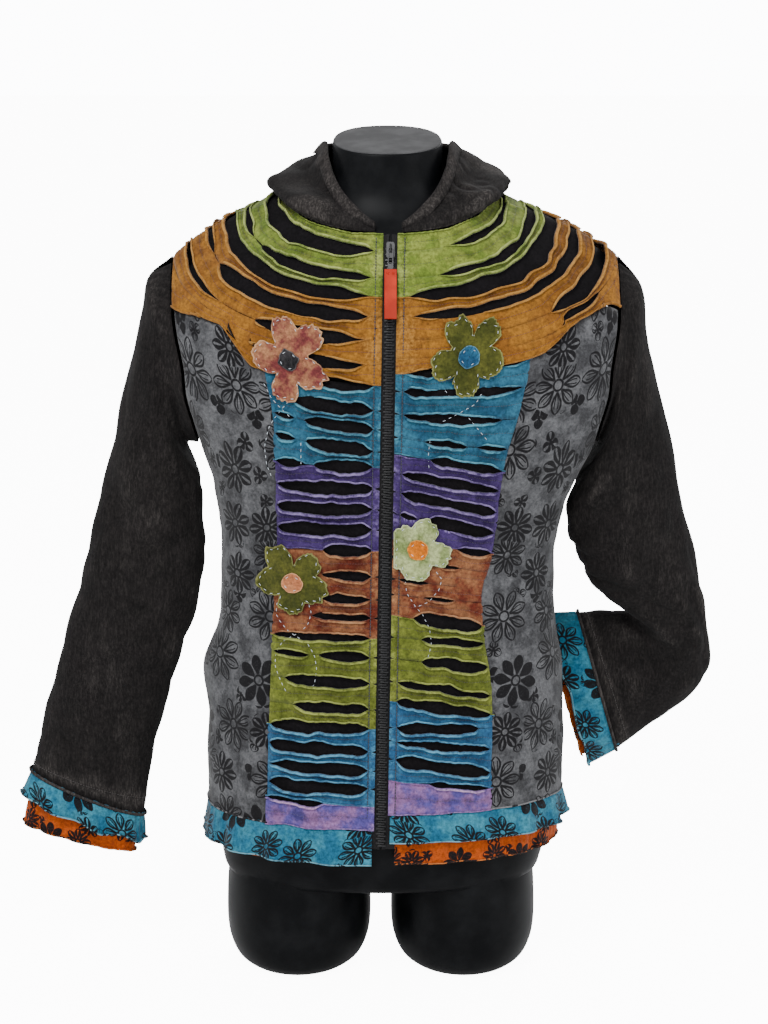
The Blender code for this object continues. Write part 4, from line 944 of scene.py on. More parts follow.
def build_centre_front(side, word):
    columns = np.linspace(0, PANEL_COLUMNS, 88)
    tops = [band[1 if side < 0 else 2] for band in BANDS]
    drops = {slit[0]: slit[4] for slit in SLITS[side]}
    names = [band[0] for band in BANDS]
    ends = {1: PANEL_NOTCH, 12: PANEL_TUCK}
    for number, (name, top, bottom) in enumerate(zip(names, tops, tops[1:] + [None])):
        own = [slit for slit in SLITS[side] if (bottom or 0) <= slit[0] <= top]
        heights = [top] + sorted({slit[0] for slit in own} - {top, bottom}, reverse=True) + [bottom]

        def line(height, columns=columns):
            return height - drops.get(height, 0) * columns / PANEL_COLUMNS

        lines = [line(height) for height in heights[:-1]]
        lines[0] = lines[0] - SEAM
        lines.append(line(bottom) + SEAM if bottom else np.full_like(columns, hem_height(side, 0.0) - 1.0))
        slits = [(heights.index(height), ends.get(first, first), ends.get(last, last), opening)
                 for height, first, last, opening, _ in own]
        blocks = slashed_blocks(lines, columns, slits, centre_place(side), 300 + 40 * number + 7 * side,
                                PANEL_NOTCH, "wine" if name == "rust" else "dark")
        sew(f"{name}_strips_{word}", f"{name}_{word}", name, "draped", blocks, side < 0, *STRIP)


for side, word in SIDES:
    build_centre_front(side, word)


# %% Black cloth under the centre front
def build_centre_backing(side, word):
    shares = np.linspace(0, 1, 40)
    heights = np.linspace(YOKE_BOTTOM[side] + 1.5, hem_height(side, 0.0) + SEAM, 80)[:, None]
    outs = UNDER_START + (princess(side, heights) - 0.6 - UNDER_START) * shares
    angles = side * front_angle(side, heights, outs)
    spots = joined(outs, heights)
    grid = body_point(heights, angles, 0.3 * uneven(spots, 45.0, 21))
    sew(f"centre_backing_{word}", f"centre_underlay_{word}", "underlay", "draped", one_block(grid),
        side < 0, THIN)


for side, word in SIDES:
    build_centre_backing(side, word)

# %% [markdown]
# ## Side fronts and back
# The side fronts carry a flower print. A pocket mouth in the side seam lets the seam flare
# out, mostly on the left. Drag lines run from the armhole to the waist, as they do where a
# close-fitting panel turns round the side. The back has the same kind of creases.

# %% Creases by hand
def hand_creases(spots, creases):
    """Soft ridges and troughs. Each has a middle, a run, a length, a width and a height in mm."""
    total = np.zeros(spots.shape[:-1])
    for across, height, turn, length, width, high in creases:
        way = np.array((math.cos(math.radians(turn)), math.sin(math.radians(turn))))
        off = spots - np.array((across, height), float)
        along = off @ way
        aside = off @ np.array((-way[1], way[0])) + 0.0025 * along ** 2 * np.sign(high)
        total += high * np.exp(-(along / length) ** 2 - (aside / width) ** 2)
    return total


SIDE_CREASES = (
    (150, 560, 60, 50, 9, 2.2), (128, 520, 50, 45, 8, -2.0), (160, 500, 20, 40, 8, 1.8),
    (140, 455, 8, 45, 7, -1.8), (165, 425, -12, 35, 8, 1.8), (135, 395, -28, 45, 8, -1.6),
    (160, 360, -50, 40, 9, 1.8), (140, 280, 75, 55, 9, 2.0), (160, 245, 84, 45, 8, -2.0),
    (128, 230, 95, 40, 7, 1.6), (175, 300, 60, 40, 7, -1.6), (145, 610, 35, 35, 9, 1.8),
)
BACK_CREASES = (
    (-90, 560, 55, 70, 11, 2.4), (-60, 500, 30, 60, 10, -2.2), (-120, 470, 12, 55, 9, 2.0),
    (20, 520, 88, 80, 12, 1.8), (90, 550, 125, 70, 11, 2.4), (70, 480, 150, 60, 9, -2.0),
    (120, 430, 170, 55, 9, 2.2), (-30, 420, 5, 70, 10, -1.8), (40, 380, 172, 60, 9, 1.8),
    (-110, 360, 60, 60, 10, 2.0), (110, 330, 115, 60, 10, -2.0), (0, 300, 92, 70, 12, 2.0),
    (-70, 250, 84, 55, 10, 2.2), (75, 245, 98, 55, 10, 2.0), (-10, 600, 40, 60, 10, -1.6),
)
POCKET_HEIGHT = 325.0
POCKET_REACH = 34.0
POCKET_START = 0.35
POCKET_FLARE = {-1: 13.0, 1: 3.0}


def pocket_lift(side, height, share):
    swell = np.exp(-((height - POCKET_HEIGHT) / POCKET_REACH) ** 2)
    past = np.maximum(0.0, share - POCKET_START) / (1 - POCKET_START)
    return POCKET_FLARE[side] * swell * past ** 1.5


# %% Build the side fronts
def rolled_hem(grid, normals, reach=1.3):
    """Three more rows that roll the raw lower edge outwards."""
    run = unit(grid[-1] - grid[-2])
    rows = []
    for turn in np.radians((60, 125, 190)):
        rows.append(grid[-1] + run * reach * math.sin(turn) + normals[-1] * reach * (1 - math.cos(turn)))
    return np.concatenate((grid, np.array(rows)))


def lip_rows(grid, count=3):
    lip = np.zeros(grid.shape[:2])
    lip[-count:] = 1.0
    return lip


def body_uv(heights, angles):
    """Lengths round the body and up it, in metres, so that a print isn't stretched."""
    fine = np.linspace(0, math.pi, 400)
    ring = surface(np.full_like(fine, 380.0), fine)
    around = np.interp(angles, fine, run_along(ring)) * half_width(heights) / half_width(380.0)
    return joined(around, heights) * MM


def build_side_front(side, word):
    shares = np.linspace(0, 1, 62)
    tops = yoke_edge(side, shares) - 2 * SEAM
    feet = hem_height(side, math.pi / 2 * shares)
    heights = tops + (feet - tops) * np.linspace(0, 1, 108)[:, None]
    gap = 0.6 / half_width(heights)
    start = yoke_share_angle(side, heights, 0.0) + gap
    end = yoke_share_angle(side, heights, 1.0) - 2 * gap
    angles = side * (start + (end - start) * shares)
    flat = body_point(heights, angles)
    spots = np.stack((side * flat[..., 0], flat[..., 2]), -1)
    edge = np.sin(math.pi * np.clip(shares, 0.02, 0.98)) ** 0.4
    lift = hand_creases(spots + np.array((3.0 * side, 9.0 * side)), SIDE_CREASES) * edge
    lift += 0.8 * uneven(spots, 42.0, 41 + side) * edge + 0.35 * uneven(spots, 16.0, 43 + side) * edge
    lift = np.maximum(lift + 1.0, 0.2) * np.clip((1 - shares) / 0.05, 0.3, 1)
    lift += pocket_lift(side, heights, shares)
    grid = body_point(heights, angles, lift)
    out = grid_normals(grid) * -side
    out *= np.sign((out * (flat - flat * (0, 0, 1))).sum(-1).mean())
    grid = rolled_hem(grid, out)
    wear_and_highlight = np.zeros(grid.shape[:2])
    wear_and_highlight[:, -4:] = 0.7
    uv = body_uv(heights, np.abs(angles))
    uv = np.concatenate((uv, np.repeat(uv[-1:], 3, axis=0) - np.array((0, 0.001))))
    blocks = [(grid, uv, lip_rows(grid), wear_and_highlight)]
    sew(f"printed_side_front_{word}", f"side_front_{word}", "grey_print", "draped", blocks, side < 0, THICK)


for side, word in SIDES:
    build_side_front(side, word)


# %% Build the back
def build_back():
    shares = np.linspace(-1, 1, 100)
    feet = HEM_MIDDLE + np.sign(shares) * HEM_SLANT * np.cos((math.pi - np.abs(shares) * math.pi / 2) / 2)
    top = YOKE_BOTTOM[-1] - 2 * SEAM
    heights = top + (feet - top) * np.linspace(0, 1, 86)[:, None]
    reach = side_angle(heights) - 1.2 / half_width(heights)
    angles = math.pi - shares * reach
    flat = body_point(heights, angles)
    spots = flat[..., (0, 2)]
    edge = (1 - np.abs(shares) ** 8)
    lift = hand_creases(spots, BACK_CREASES) * edge
    lift += 1.1 * uneven(spots, 60.0, 51) * edge + 0.4 * uneven(spots, 20.0, 52) * edge
    grid = body_point(heights, angles, np.maximum(lift + 1.2, 0.2) * np.clip(edge, 0.2, 1))
    out = body_point(heights[-1:], angles[-1:], 1.0) - body_point(heights[-1:], angles[-1:])
    grid = rolled_hem(grid, out)
    # Lighter on the crease ridges, as rubbed wear and a painted highlight.
    ridge = np.clip(np.concatenate((lift, np.zeros((3, len(shares))))) / 2.5, 0, 1)
    blocks = one_block(grid, lip_rows(grid), ridge)
    sew("stonewashed_back", "back", "stonewash", "draped", blocks, True, THICK)


build_back()

# %% [markdown]
# ## Sleeves
# A sleeve is a tube through tilted rings. The left one hangs straight. The right one hangs
# to the elbow, folds there and comes back to the body's side. Curves through the rings give
# the tube, and the creases are pressed in one by one: a few deep ones that wind round the
# arm, more and sharper ones inside the elbow, then fine crumples on all of it.

# %% Rings of the sleeves
OUTER_X, OUTER_Z, INNER_X, INNER_Z, DEPTH, MIDDLE = range(6)
LEFT_SLEEVE = (
    (244, 735, 206, 565, 48, 0), (258, 672, 207, 553, 52, 2), (276, 602, 196, 532, 49, 2),
    (295, 527, 190, 496, 46, 0), (312, 458, 189, 452, 43, -2), (326, 402, 198, 402, 40, -4),
    (342, 348, 213, 352, 38, -4), (356, 297, 229, 303, 35, -3), (368, 252, 245, 246, 32, 0),
    (379, 209, 261, 160, 26, 2),
)
RIGHT_SLEEVE = (
    (256, 732, 218, 568, 48, 0), (266, 678, 216, 554, 52, 2), (281, 615, 199, 530, 49, 2),
    (297, 556, 186, 497, 46, 2), (309, 497, 189, 459, 44, 4), (322, 437, 203, 424, 42, 8),
    (336, 384, 226, 398, 38, 16), (344, 340, 248, 380, 34, 26), (344, 308, 262, 372, 33, 34),
    (328, 280, 258, 370, 32, 44), (302, 254, 244, 369, 31, 54), (274, 231, 224, 367, 28, 62),
    (251, 211, 207, 364, 25, 66),
)
RING_SPACING = 56
# Place along, place round in degrees from the outer edge, degrees that it turns in a
# quarter of the length, depth in mm, width as a share of the length.
CREASES = (
    (0.14, 120, 160, 5, 0.05), (0.25, 70, -140, 4, 0.05), (0.40, 130, 180, 5, 0.05),
    (0.52, 60, 120, 4, 0.05), (0.63, 100, -160, 5, 0.045), (0.76, 50, 150, 4, 0.045),
    (0.20, 250, 150, 5, 0.05), (0.46, 230, -150, 5, 0.05), (0.68, 290, 130, 4, 0.05),
)
FINE_CREASES = {
    -1: ((0.08, 150, 200, 2.6, 0.020), (0.17, 95, -210, 2.4, 0.018), (0.22, 160, 170, 2.8, 0.020),
         (0.31, 110, 230, 2.6, 0.018), (0.36, 60, -190, 2.2, 0.016), (0.44, 95, 210, 2.8, 0.018),
         (0.49, 150, -170, 2.4, 0.018), (0.57, 85, 190, 2.6, 0.018), (0.60, 140, 240, 2.4, 0.016),
         (0.69, 70, -220, 2.6, 0.018), (0.73, 130, 180, 2.2, 0.016), (0.82, 100, -190, 2.4, 0.018),
         (0.88, 60, 210, 2.2, 0.016), (0.30, 240, 200, 2.6, 0.02), (0.56, 270, -200, 2.6, 0.02),
         (0.80, 240, 190, 2.4, 0.02)),
    1: ((0.07, 140, 200, 2.6, 0.018), (0.13, 90, -200, 2.4, 0.016), (0.20, 150, 190, 2.6, 0.018),
        (0.28, 80, 220, 2.4, 0.016), (0.35, 130, -180, 2.6, 0.016), (0.42, 150, 230, 3.2, 0.015),
        (0.47, 165, -260, 3.4, 0.014), (0.52, 175, 300, 3.8, 0.014), (0.56, 150, -320, 3.6, 0.013),
        (0.60, 120, 320, 3.8, 0.013), (0.64, 90, -300, 3.6, 0.013), (0.68, 140, 280, 3.2, 0.014),
        (0.73, 60, -240, 2.8, 0.014), (0.80, 110, 220, 2.6, 0.016), (0.88, 70, -200, 2.4, 0.016),
        (0.50, 250, 220, 3.0, 0.016), (0.62, 290, -240, 3.2, 0.016), (0.75, 230, 210, 2.6, 0.018)),
}
AROUND = 132
HEM_ROLL = 1.5


def sleeve_ring(row, side, turns, grow=0.0, slide=0.0):
    """Points round one ring of a sleeve, grown and slid along it, in mm."""
    row = np.asarray(row, float)
    outer = np.array((row[OUTER_X], 0, row[OUTER_Z]))
    inner = np.array((row[INNER_X], 0, row[INNER_Z]))
    centre = (outer + inner) / 2 + np.array((0, row[MIDDLE], 0))
    half = np.linalg.norm(outer - inner) / 2
    across = (outer - inner) / 2 / half
    along = np.array((across[2], 0, -across[0]))
    grow, slide, turns = np.broadcast_arrays(grow, slide, turns)
    points = centre + across * ((half + grow) * np.cos(turns))[..., None]
    points = points - np.array((0, 1, 0)) * ((row[DEPTH] + grow) * np.sin(turns))[..., None]
    return (points + along * slide[..., None]) * np.array((side, 1, 1))


def armhole_ring(side, turns):
    middle = (ARMHOLE_TOP + ARMHOLE_BOTTOM) / 2
    reach = (ARMHOLE_TOP - ARMHOLE_BOTTOM) / 2 - SEAM
    heights = middle + reach * np.cos(turns)
    angles = side_angle(heights)
    angles = np.where(turns > math.pi, math.pi - angles, angles)
    return body_point(heights, side * angles, 1.0) + np.array((side * 3.4, 0, 0))


def crease_depth(creases, along, turns, reach=50.0):
    depth = np.zeros(np.broadcast(along, turns).shape)
    for place, centre, slope, deep, width in creases:
        away = (np.degrees(turns) - centre + 180) % 360 - 180
        line = place + away / slope / 4
        depth += deep * np.exp(-((along - line) / width) ** 2 - (away / reach) ** 2)
    return depth


# %% Build the sleeves
def sleeve_surface(side, table, turns, count):
    """A grid of points down the sleeve, and where each row lies from 0 to 1."""
    rows = [table[0]]
    for row, after in zip(table, table[1:]):
        if abs(after[OUTER_Z] - row[OUTER_Z]) > RING_SPACING:
            rows.append(tuple(np.add(row, after) / 2))
        rows.append(after)
    rings = np.array([armhole_ring(side, turns)] + [sleeve_ring(row, side, turns) for row in rows])
    places = run_along(rings.mean(axis=1))
    curve = smooth_table([(place, *ring.ravel()) for place, ring in zip(places, rings)])
    fine = np.linspace(0, places[-1], count)
    grid = curve(fine)[:, 1:].reshape(count, len(turns), 3)
    index = np.interp(fine, places, np.arange(len(places)))
    along = np.clip((index - 1) / (len(rows) - 1), 0, 1)
    return grid, along, fine / places[-1]


def build_sleeve(side, word, table):
    turns = np.linspace(0, 2 * math.pi, AROUND + 1)
    grid, along, share = sleeve_surface(side, table, turns, 110)
    outward = unit(grid - grid[:, :-1].mean(axis=1, keepdims=True))
    fade = np.where(share < 0.999, np.sin(math.pi * np.clip(along, 0, 1)) ** 0.5, 0.0)[:, None]
    small = np.clip(np.minimum(share / 0.05, (1 - share) / 0.03), 0, 1)[:, None]
    depth = crease_depth(CREASES, along[:, None], turns) * fade
    depth += crease_depth(FINE_CREASES[side], share[:, None], turns, 42.0) * small
    elbow = np.exp(-((share - 0.62) / 0.14) ** 2)[:, None] if side > 0 else 0.35 * np.ones((len(share), 1))
    around = joined(np.cos(turns) * 45, np.sin(turns) * 45, share[:, None] * 300)
    folds = np.abs(uneven(around, 50.0, 61 + side)) - 0.5
    crumple = uneven(around, 24.0, 63 + side)
    bulge = (1.6 + 1.4 * elbow) * folds + (0.25 + 0.5 * elbow) * crumple
    gathers = 0.9 * np.cos(turns * 34 + 2 * uneven(around, 60.0, 65))
    gathers = gathers * np.exp(-(share / 0.035) ** 2)[:, None]
    head = np.clip(np.cos(turns), 0, 1) * gathers
    out = bulge * small - depth + head
    grid = grid + outward * out[..., None]
    rows = []
    for turn in np.radians((60, 120, 180, 230)):
        grow = HEM_ROLL * (1 - math.cos(turn))
        rows.append(sleeve_ring(table[-1], side, turns, grow, HEM_ROLL * math.sin(turn) + 0.4))
    grid = np.concatenate((grid, np.array(rows)))
    # Lighter on the outward ridges of the folds, as rubbed wear and a painted highlight, and lighter at the
    # sleeve end.
    wear_and_highlight = np.clip(out / 3.0, 0, 1)
    wear_and_highlight += 0.9 * np.exp(-((share - 0.975) / 0.012) ** 2)[:, None]
    wear_and_highlight = np.concatenate((wear_and_highlight, np.full((4, len(turns)), 1.0)))
    lip = np.zeros(grid.shape[:2])
    lip[-2:] = 0.7
    blocks = one_block(grid, lip, wear_and_highlight)
    sew(f"stonewashed_sleeve_{word}", f"sleeve_{word}", "stonewash", "hung", blocks, side < 0, THICK)
    stitch = int(0.968 * len(share))
    SEWN.append((grid[stitch] + outward[stitch] * 1.0, outward[stitch], "dark", 2.9))


SLEEVES = {-1: LEFT_SLEEVE, 1: RIGHT_SLEEVE}
for side, word in SIDES:
    build_sleeve(side, word, SLEEVES[side])

# %% [markdown]
# ## Ruffles and gathered bands
# Each sleeve end and the hem have a short loose ruffle over a longer gathered band. Waves of
# uneven size run round them, small at the seam and full at the raw edge, which rolls a
# little. Both tops are tucked under the rolled edge of the cloth above.

# %% Trim at the sleeve ends
DOUBLE_WAVE = 0.35


def waves_round(turns, count, seed):
    """A ripple of about count waves a turn that closes on itself."""
    random = np.random.default_rng(seed)
    total = np.zeros_like(turns)
    for number in range(max(1, count - 3), count + 4):
        size = math.exp(-((number - count) / 1.8) ** 2)
        total += size * np.sin(number * turns + random.uniform(0, 6.28))
    total += DOUBLE_WAVE * np.sin(2 * count * turns + random.uniform(0, 6.28))
    return total / 1.9


CUFF_FRILL = {-1: 29.0, 1: 33.0}
CUFF_BAND = {-1: 54.0, 1: 38.0}
CUFF_LEAN = {-1: 0.20, 1: 0.0}
BAND_TILT = {-1: 0.15, 1: 0.0}


def build_cuff_piece(side, word, table, name, node, cloth, rows_at, waves, seed, gathers, tilt=0.0):
    turns = np.linspace(0, 2 * math.pi, 289)
    rows, lips, wears_and_highlights = [], [], []
    wave = waves_round(turns, waves, seed)
    fine = waves_round(turns, gathers, seed + 1)
    for slide, grow, swing, pleat, lip in rows_at:
        lag = 0.10 * math.sin(slide / 9.0)
        past = max(slide, 0.0)
        shifted = np.interp((turns + lag) % (2 * math.pi), turns, wave)
        reach = grow + swing * shifted + pleat * fine
        run = slide + 0.5 * swing * np.roll(wave, 9) + tilt * past * np.cos(turns)
        rows.append(sleeve_ring(table[-1], side, turns, reach, run) - (side * CUFF_LEAN[side] * past, 0, 0))
        rows[-1][-1] = rows[-1][0]
        lips.append(np.full_like(turns, lip))
        wears_and_highlights.append(np.clip(0.5 * shifted, 0, 1))
    grid = np.array(rows)
    blocks = one_block(grid, np.array(lips), np.array(wears_and_highlights))
    sew(f"{name}_{word}", f"{node}_{word}", cloth, "gathered", blocks, side < 0, THIN,
        rests_on=f"stonewashed_sleeve_{word}")


def trim_rows(length, top, bottom, swing, pleat, count=11):
    """Rows of slide, reach, wave, pleat and lip from the tucked top to the rolled edge."""
    rows = [(-4.0, top - 1.4, 0.0, 0.2 * pleat, 0.0), (-0.5, top - 0.9, 0.0, 0.5 * pleat, 0.0)]
    for share in np.linspace(0.06, 1.0, count):
        rows.append((length * share, top + (bottom - top) * share, swing * share ** 0.8,
                     pleat * (1 - 0.6 * share), 0.25 * (share > 0.97)))
    for turn in np.radians((70, 140, 200)):
        rolled = bottom + 1.1 * (1 - math.cos(turn))
        rows.append((length + 1.1 * math.sin(turn), rolled, swing, 0.4 * pleat, 1.0))
    return rows


for side, word in SIDES:
    table = SLEEVES[side]
    build_cuff_piece(side, word, table, "cuff_frill", "cuff_ruffle", "blue_print",
                     trim_rows(CUFF_FRILL[side], 0.6, 6.3, 3.0, 0.5), 8, 71 + side, 31)
    build_cuff_piece(side, word, table, "cuff_gathers", "cuff_band", "orange_print",
                     trim_rows(CUFF_BAND[side], -2.4, -4.2, 1.6, 0.9), 11, 75 + side, 37, BAND_TILT[side])


# %% Trim at the hem
def build_hem_piece(side, word, name, node, cloth, inner, rows_at, waves, gathers, seed, foot_at):
    columns = 380
    start = front_angle(side, HEM_MIDDLE, inner)
    angles = np.linspace(start, math.pi - 0.15 / half_width(HEM_MIDDLE), columns)
    turns = angles * 2
    wave = waves_round(turns, waves, seed)
    fine = waves_round(turns, gathers, seed + 1)
    calm = np.clip(np.minimum(angles - start, angles[-1] - angles) / 0.12, 0.15, 1)
    top = hem_height(side, angles)
    foot = foot_at(top, angles)
    rows, lips, wears_and_highlights = [], [], []
    for share, extra, lift, swing, pleat, lip in rows_at:
        height = top - (top - foot) * share - extra
        ripple = (swing * np.roll(wave, int(3 * share)) + pleat * fine) * calm
        rows.append(body_point(height, side * angles, lift + ripple))
        lips.append(np.full_like(angles, lip))
        wears_and_highlights.append(np.clip(0.5 * wave, 0, 1))
    grid = np.array(rows)
    blocks = one_block(grid, np.array(lips), np.array(wears_and_highlights))
    sew(f"{name}_{word}", f"{node}_{word}", cloth, "gathered", blocks, side < 0, THIN)


def hem_rows(top, bottom, swing, pleat, count=10):
    rows = [(0.0, -4.0, top - 2.6, 0.0, 0.2 * pleat, 0.0), (0.0, 0.0, top - 1.2, 0.0, 0.5 * pleat, 0.0)]
    for share in np.linspace(0.1, 1.0, count):
        rows.append((share, 0.0, top + (bottom - top) * share, swing * share ** 0.8,
                     pleat * (1 - 0.6 * share), 0.25 * (share > 0.97)))
    for turn in np.radians((70, 140, 200)):
        rolled = bottom + 1.1 * (1 - math.cos(turn))
        rows.append((1.0, 1.1 * math.sin(turn), rolled, swing, 0.4 * pleat, 1.0))
    return rows


for side, word in SIDES:
    build_hem_piece(side, word, "hem_frill", "hem_ruffle", "blue_print", 9.0,
                    hem_rows(1.2, 7.2, 3.2, 0.4), 9, 33, 81 + side,
                    lambda top, angles, side=side:
                    top - FRILL_LENGTH + side * FRILL_SLANT * np.cos(angles / 2))
    build_hem_piece(side, word, "hem_gathers", "hem_band", "orange_print", UNDER_START,
                    hem_rows(-1.2, -0.4, 1.7, 0.8), 11, 41, 85 + side,
                    lambda top, angles: np.full_like(top, HEM_FOOT))

# %% [markdown]
# ## Hood
# The hood lies back on the shoulders in soft rolls. Seven points give its fold at each
# station round the neck, from the seam to the face edge, and curves join them both ways.
# Small gathers stand along the neck seam, and the right side is crumpled.

# %% Fold lines of the hood
HOOD_STATIONS = (
    (6, ((0, 2), (0, 3.5), (-0.5, 5), (-1, 6.5), (-1.5, 8), (-2, 9.5), (-2.5, 11))),
    (24, ((0, 2), (0, 7), (-3, 12), (-6, 16), (-9, 20), (-12, 25), (-15, 30))),
    (46, ((0, 3), (3, 12), (-3, 21), (-12, 26), (-19, 30), (-24, 38), (-29, 46))),
    (70, ((0, 3), (12, 10), (8, 19), (-8, 23), (-21, 27), (-30, 41), (-37, 54))),
    (95, ((0, 3), (20, 5), (19, 14), (-2, 19), (-16, 22), (-28, 36), (-38, 50))),
    (130, ((0, 3), (27, 0), (40, -22), (41, -6), (17, 12), (-6, 22), (-20, 33))),
    (180, ((0, 3), (24, -18), (44, -88), (51, -58), (32, 4), (8, 24), (-6, 30))),
)
HOOD_CURVE = smooth_table([(place, *np.ravel(folds)) for place, folds in HOOD_STATIONS])


def hood_grid(angles, shares):
    """Points of the hood at angles round the neck and shares from the seam to the edge."""
    folds = HOOD_CURVE(np.degrees(np.abs(angles)))[..., 1:].reshape(len(angles), 7, 2)
    index = smooth_table([(number, *folds[:, number].ravel()) for number in range(7)])
    place = index(shares * 6)[:, 1:].reshape(len(shares), len(angles), 2)
    seam = body_point(np.full_like(angles, ZIP_TOP), angles, OVER_LIFT + 0.5)
    outward = np.stack((np.sin(angles), -np.cos(angles), np.zeros_like(angles)), -1)
    return seam + outward * place[..., :1] + np.array((0, 0, 1)) * place[..., 1:]


# %% Build the hood
def build_hood():
    angles = np.radians(np.linspace(6, 354, 200))
    signed = np.where(angles <= math.pi, angles, angles - 2 * math.pi)
    shares = np.linspace(0, 1, 48)
    grid = hood_grid(signed, shares)
    normals = grid_normals(grid)
    spots = grid * np.array((1.0, 1.0, 1.3))
    ends = np.clip(np.minimum(shares / 0.12, (1 - shares) / 0.12), 0, 1)[:, None]
    right = np.exp(-((signed - 1.0) / 0.55) ** 2)
    side_calm = np.clip((np.abs(signed) - 0.12) / 0.5, 0, 1)
    folds = uneven(spots, 80.0, 91) * 2.2 + (np.abs(uneven(spots, 50.0, 92)) - 0.45) * 1.6
    crumple = (np.abs(uneven(spots, 27.0, 93)) - 0.45) * 2.8 * right
    gathers = np.cos(signed * 78 + 1.5 * uneven(spots, 40.0, 94))
    gathers = gathers * 0.8 * np.exp(-((shares - 0.05) / 0.09) ** 2)[:, None]
    out = (folds + crumple) * ends * side_calm + gathers * side_calm
    grid = grid - normals * out[..., None]
    # Lighter on the fold ridges, as rubbed wear and a painted highlight, and lighter along the neck seam.
    wear_and_highlight = np.clip(out / 3.0, 0, 1) + 0.6 * np.exp(-((shares - 0.02) / 0.03) ** 2)[:, None]
    blocks = one_block(grid, 0.0, wear_and_highlight)
    sew("stonewashed_hood", "hood", "stonewash", "folded", blocks, True, THICK)


def build_hood_band(side, word):
    """The face edge: a strip folded over the hood's last stretch."""
    angles = np.linspace(math.radians(6), math.pi - 0.004, 170) * side
    shares = np.linspace(0, 1, 60)
    sheet = hood_grid(angles, shares)
    edge = sheet[-1]
    run = unit(sheet[-1] - sheet[-4])
    out = unit(np.cross(np.gradient(edge, axis=0), run)) * -side
    length = np.linalg.norm(sheet[-1] - sheet[-11], axis=-1)
    width = np.minimum(15.0, length * 2.2 + 3.0)[:, None]
    ripple = 0.35 * uneven(edge, 18.0, 97 + side)[:, None]
    profile = ((1.0, 1.9), (0.75, 2.2), (0.5, 2.3), (0.25, 2.2), (0.06, 1.8), (-0.04, 1.0), (-0.04, -1.0),
               (0.06, -1.8), (0.25, -2.2), (0.5, -2.3), (0.75, -2.2), (1.0, -1.9))
    grid = np.array([edge - run * width * back + out * (off + ripple) for back, off in profile])
    wear_and_highlight = np.array([1.0 - abs(back - 0.45) for back, _ in profile])[:, None] * np.ones(len(angles))
    blocks = one_block(grid, 0.0, wear_and_highlight)
    sew(f"hood_edge_{word}", f"hood_band_{word}", "stonewash", "folded", blocks, side > 0, THIN,
        rests_on="stonewashed_hood")
    SEWN.append((edge - run * width * 0.86 + out * (3.1 + ripple), out, "dark", 2.9))


build_hood()
for side, word in SIDES:
    build_hood_band(side, word)

# %% [markdown]
# ## Zip
# A moulded zip has square teeth on two woven tapes. One tooth is modelled from a cube that is
# bevelled, and its copies stand 5 mm apart on each side, half a pitch out of step. The slider
# and the puller keep the CAD shape. The rubber tag gets rounder edges and its two knobs, and
# stays bare.

# %% Finishes of the small parts
def hard_finish(name, colour, rough, metal=0.0, grain=220.0, shine=0.5):
    finish, tree, shader = new_finish(name)
    place = add_node(tree, "ShaderNodeTexCoord", {}).outputs["Object"]
    broad = noise(tree, place, grain / 6, 4.0)
    fine = noise(tree, place, grain * 4, 3.0)
    pale = tuple(min(1.0, 1.6 * value + 0.003) for value in colour)
    base = mix_colour(tree, soft_step(tree, broad, 0.35, 0.75), (*colour, 1.0), (*pale, 1.0))
    tree.links.new(base, shader.inputs["Base Color"])
    tree.links.new(calc(tree, "MULTIPLY_ADD", broad, 0.25, rough - 0.12), shader.inputs["Roughness"])
    add_bump(tree, shader, fine, 0.25, 0.05)
    shader.inputs["Metallic"].default_value = metal
    shader.inputs["Specular IOR Level"].default_value = shine
    return finish


TOOTH_FINISH = hard_finish("black moulded teeth", (0.004, 0.004, 0.0045), 0.34, shine=0.28)
METAL_FINISH = hard_finish("dark metal", (0.014, 0.014, 0.015), 0.36, metal=0.35)
RUBBER_FINISH = hard_finish("red rubber", (0.25, 0.014, 0.004), 0.55, grain=300.0, shine=0.10)
FORM_FINISH = hard_finish("black satin form", (0.0022, 0.0024, 0.0028), 0.40, grain=160.0, shine=0.05)
# Painted reflection: the cap is dark satin, and its grey colour stands for the light it reflects at a
# grazing angle.
CAP_REFLECTION_FINISH = hard_finish("cap painted grey for its reflection", (0.040, 0.040, 0.041), 0.8, shine=0.05)


def tape_finish():
    """A black twill tape: slanting ribs across its length."""
    finish, tree, shader = new_finish("black zip tape")
    place = add_node(tree, "ShaderNodeTexCoord", {}).outputs["UV"]
    parts = add_node(tree, "ShaderNodeSeparateXYZ", {"Vector": place}).outputs
    slant = calc(tree, "MULTIPLY_ADD", parts["X"], 0.8, parts["Y"])
    rib = calc(tree, "SINE", calc(tree, "MULTIPLY", slant, 7000.0))
    base = mix_colour(tree, noise(tree, place, 300.0), (0.004, 0.004, 0.0045, 1.0),
                      (0.012, 0.0115, 0.012, 1.0))
    tree.links.new(base, shader.inputs["Base Color"])
    add_bump(tree, shader, rib, 0.3, 0.2)
    rough = calc(tree, "MULTIPLY_ADD", noise(tree, place, 90.0), 0.2, 0.65)
    tree.links.new(rough, shader.inputs["Roughness"])
    shader.inputs["Sheen Weight"].default_value = 0.02
    shader.inputs["Specular IOR Level"].default_value = 0.15
    return finish


TAPE_FINISH = tape_finish()


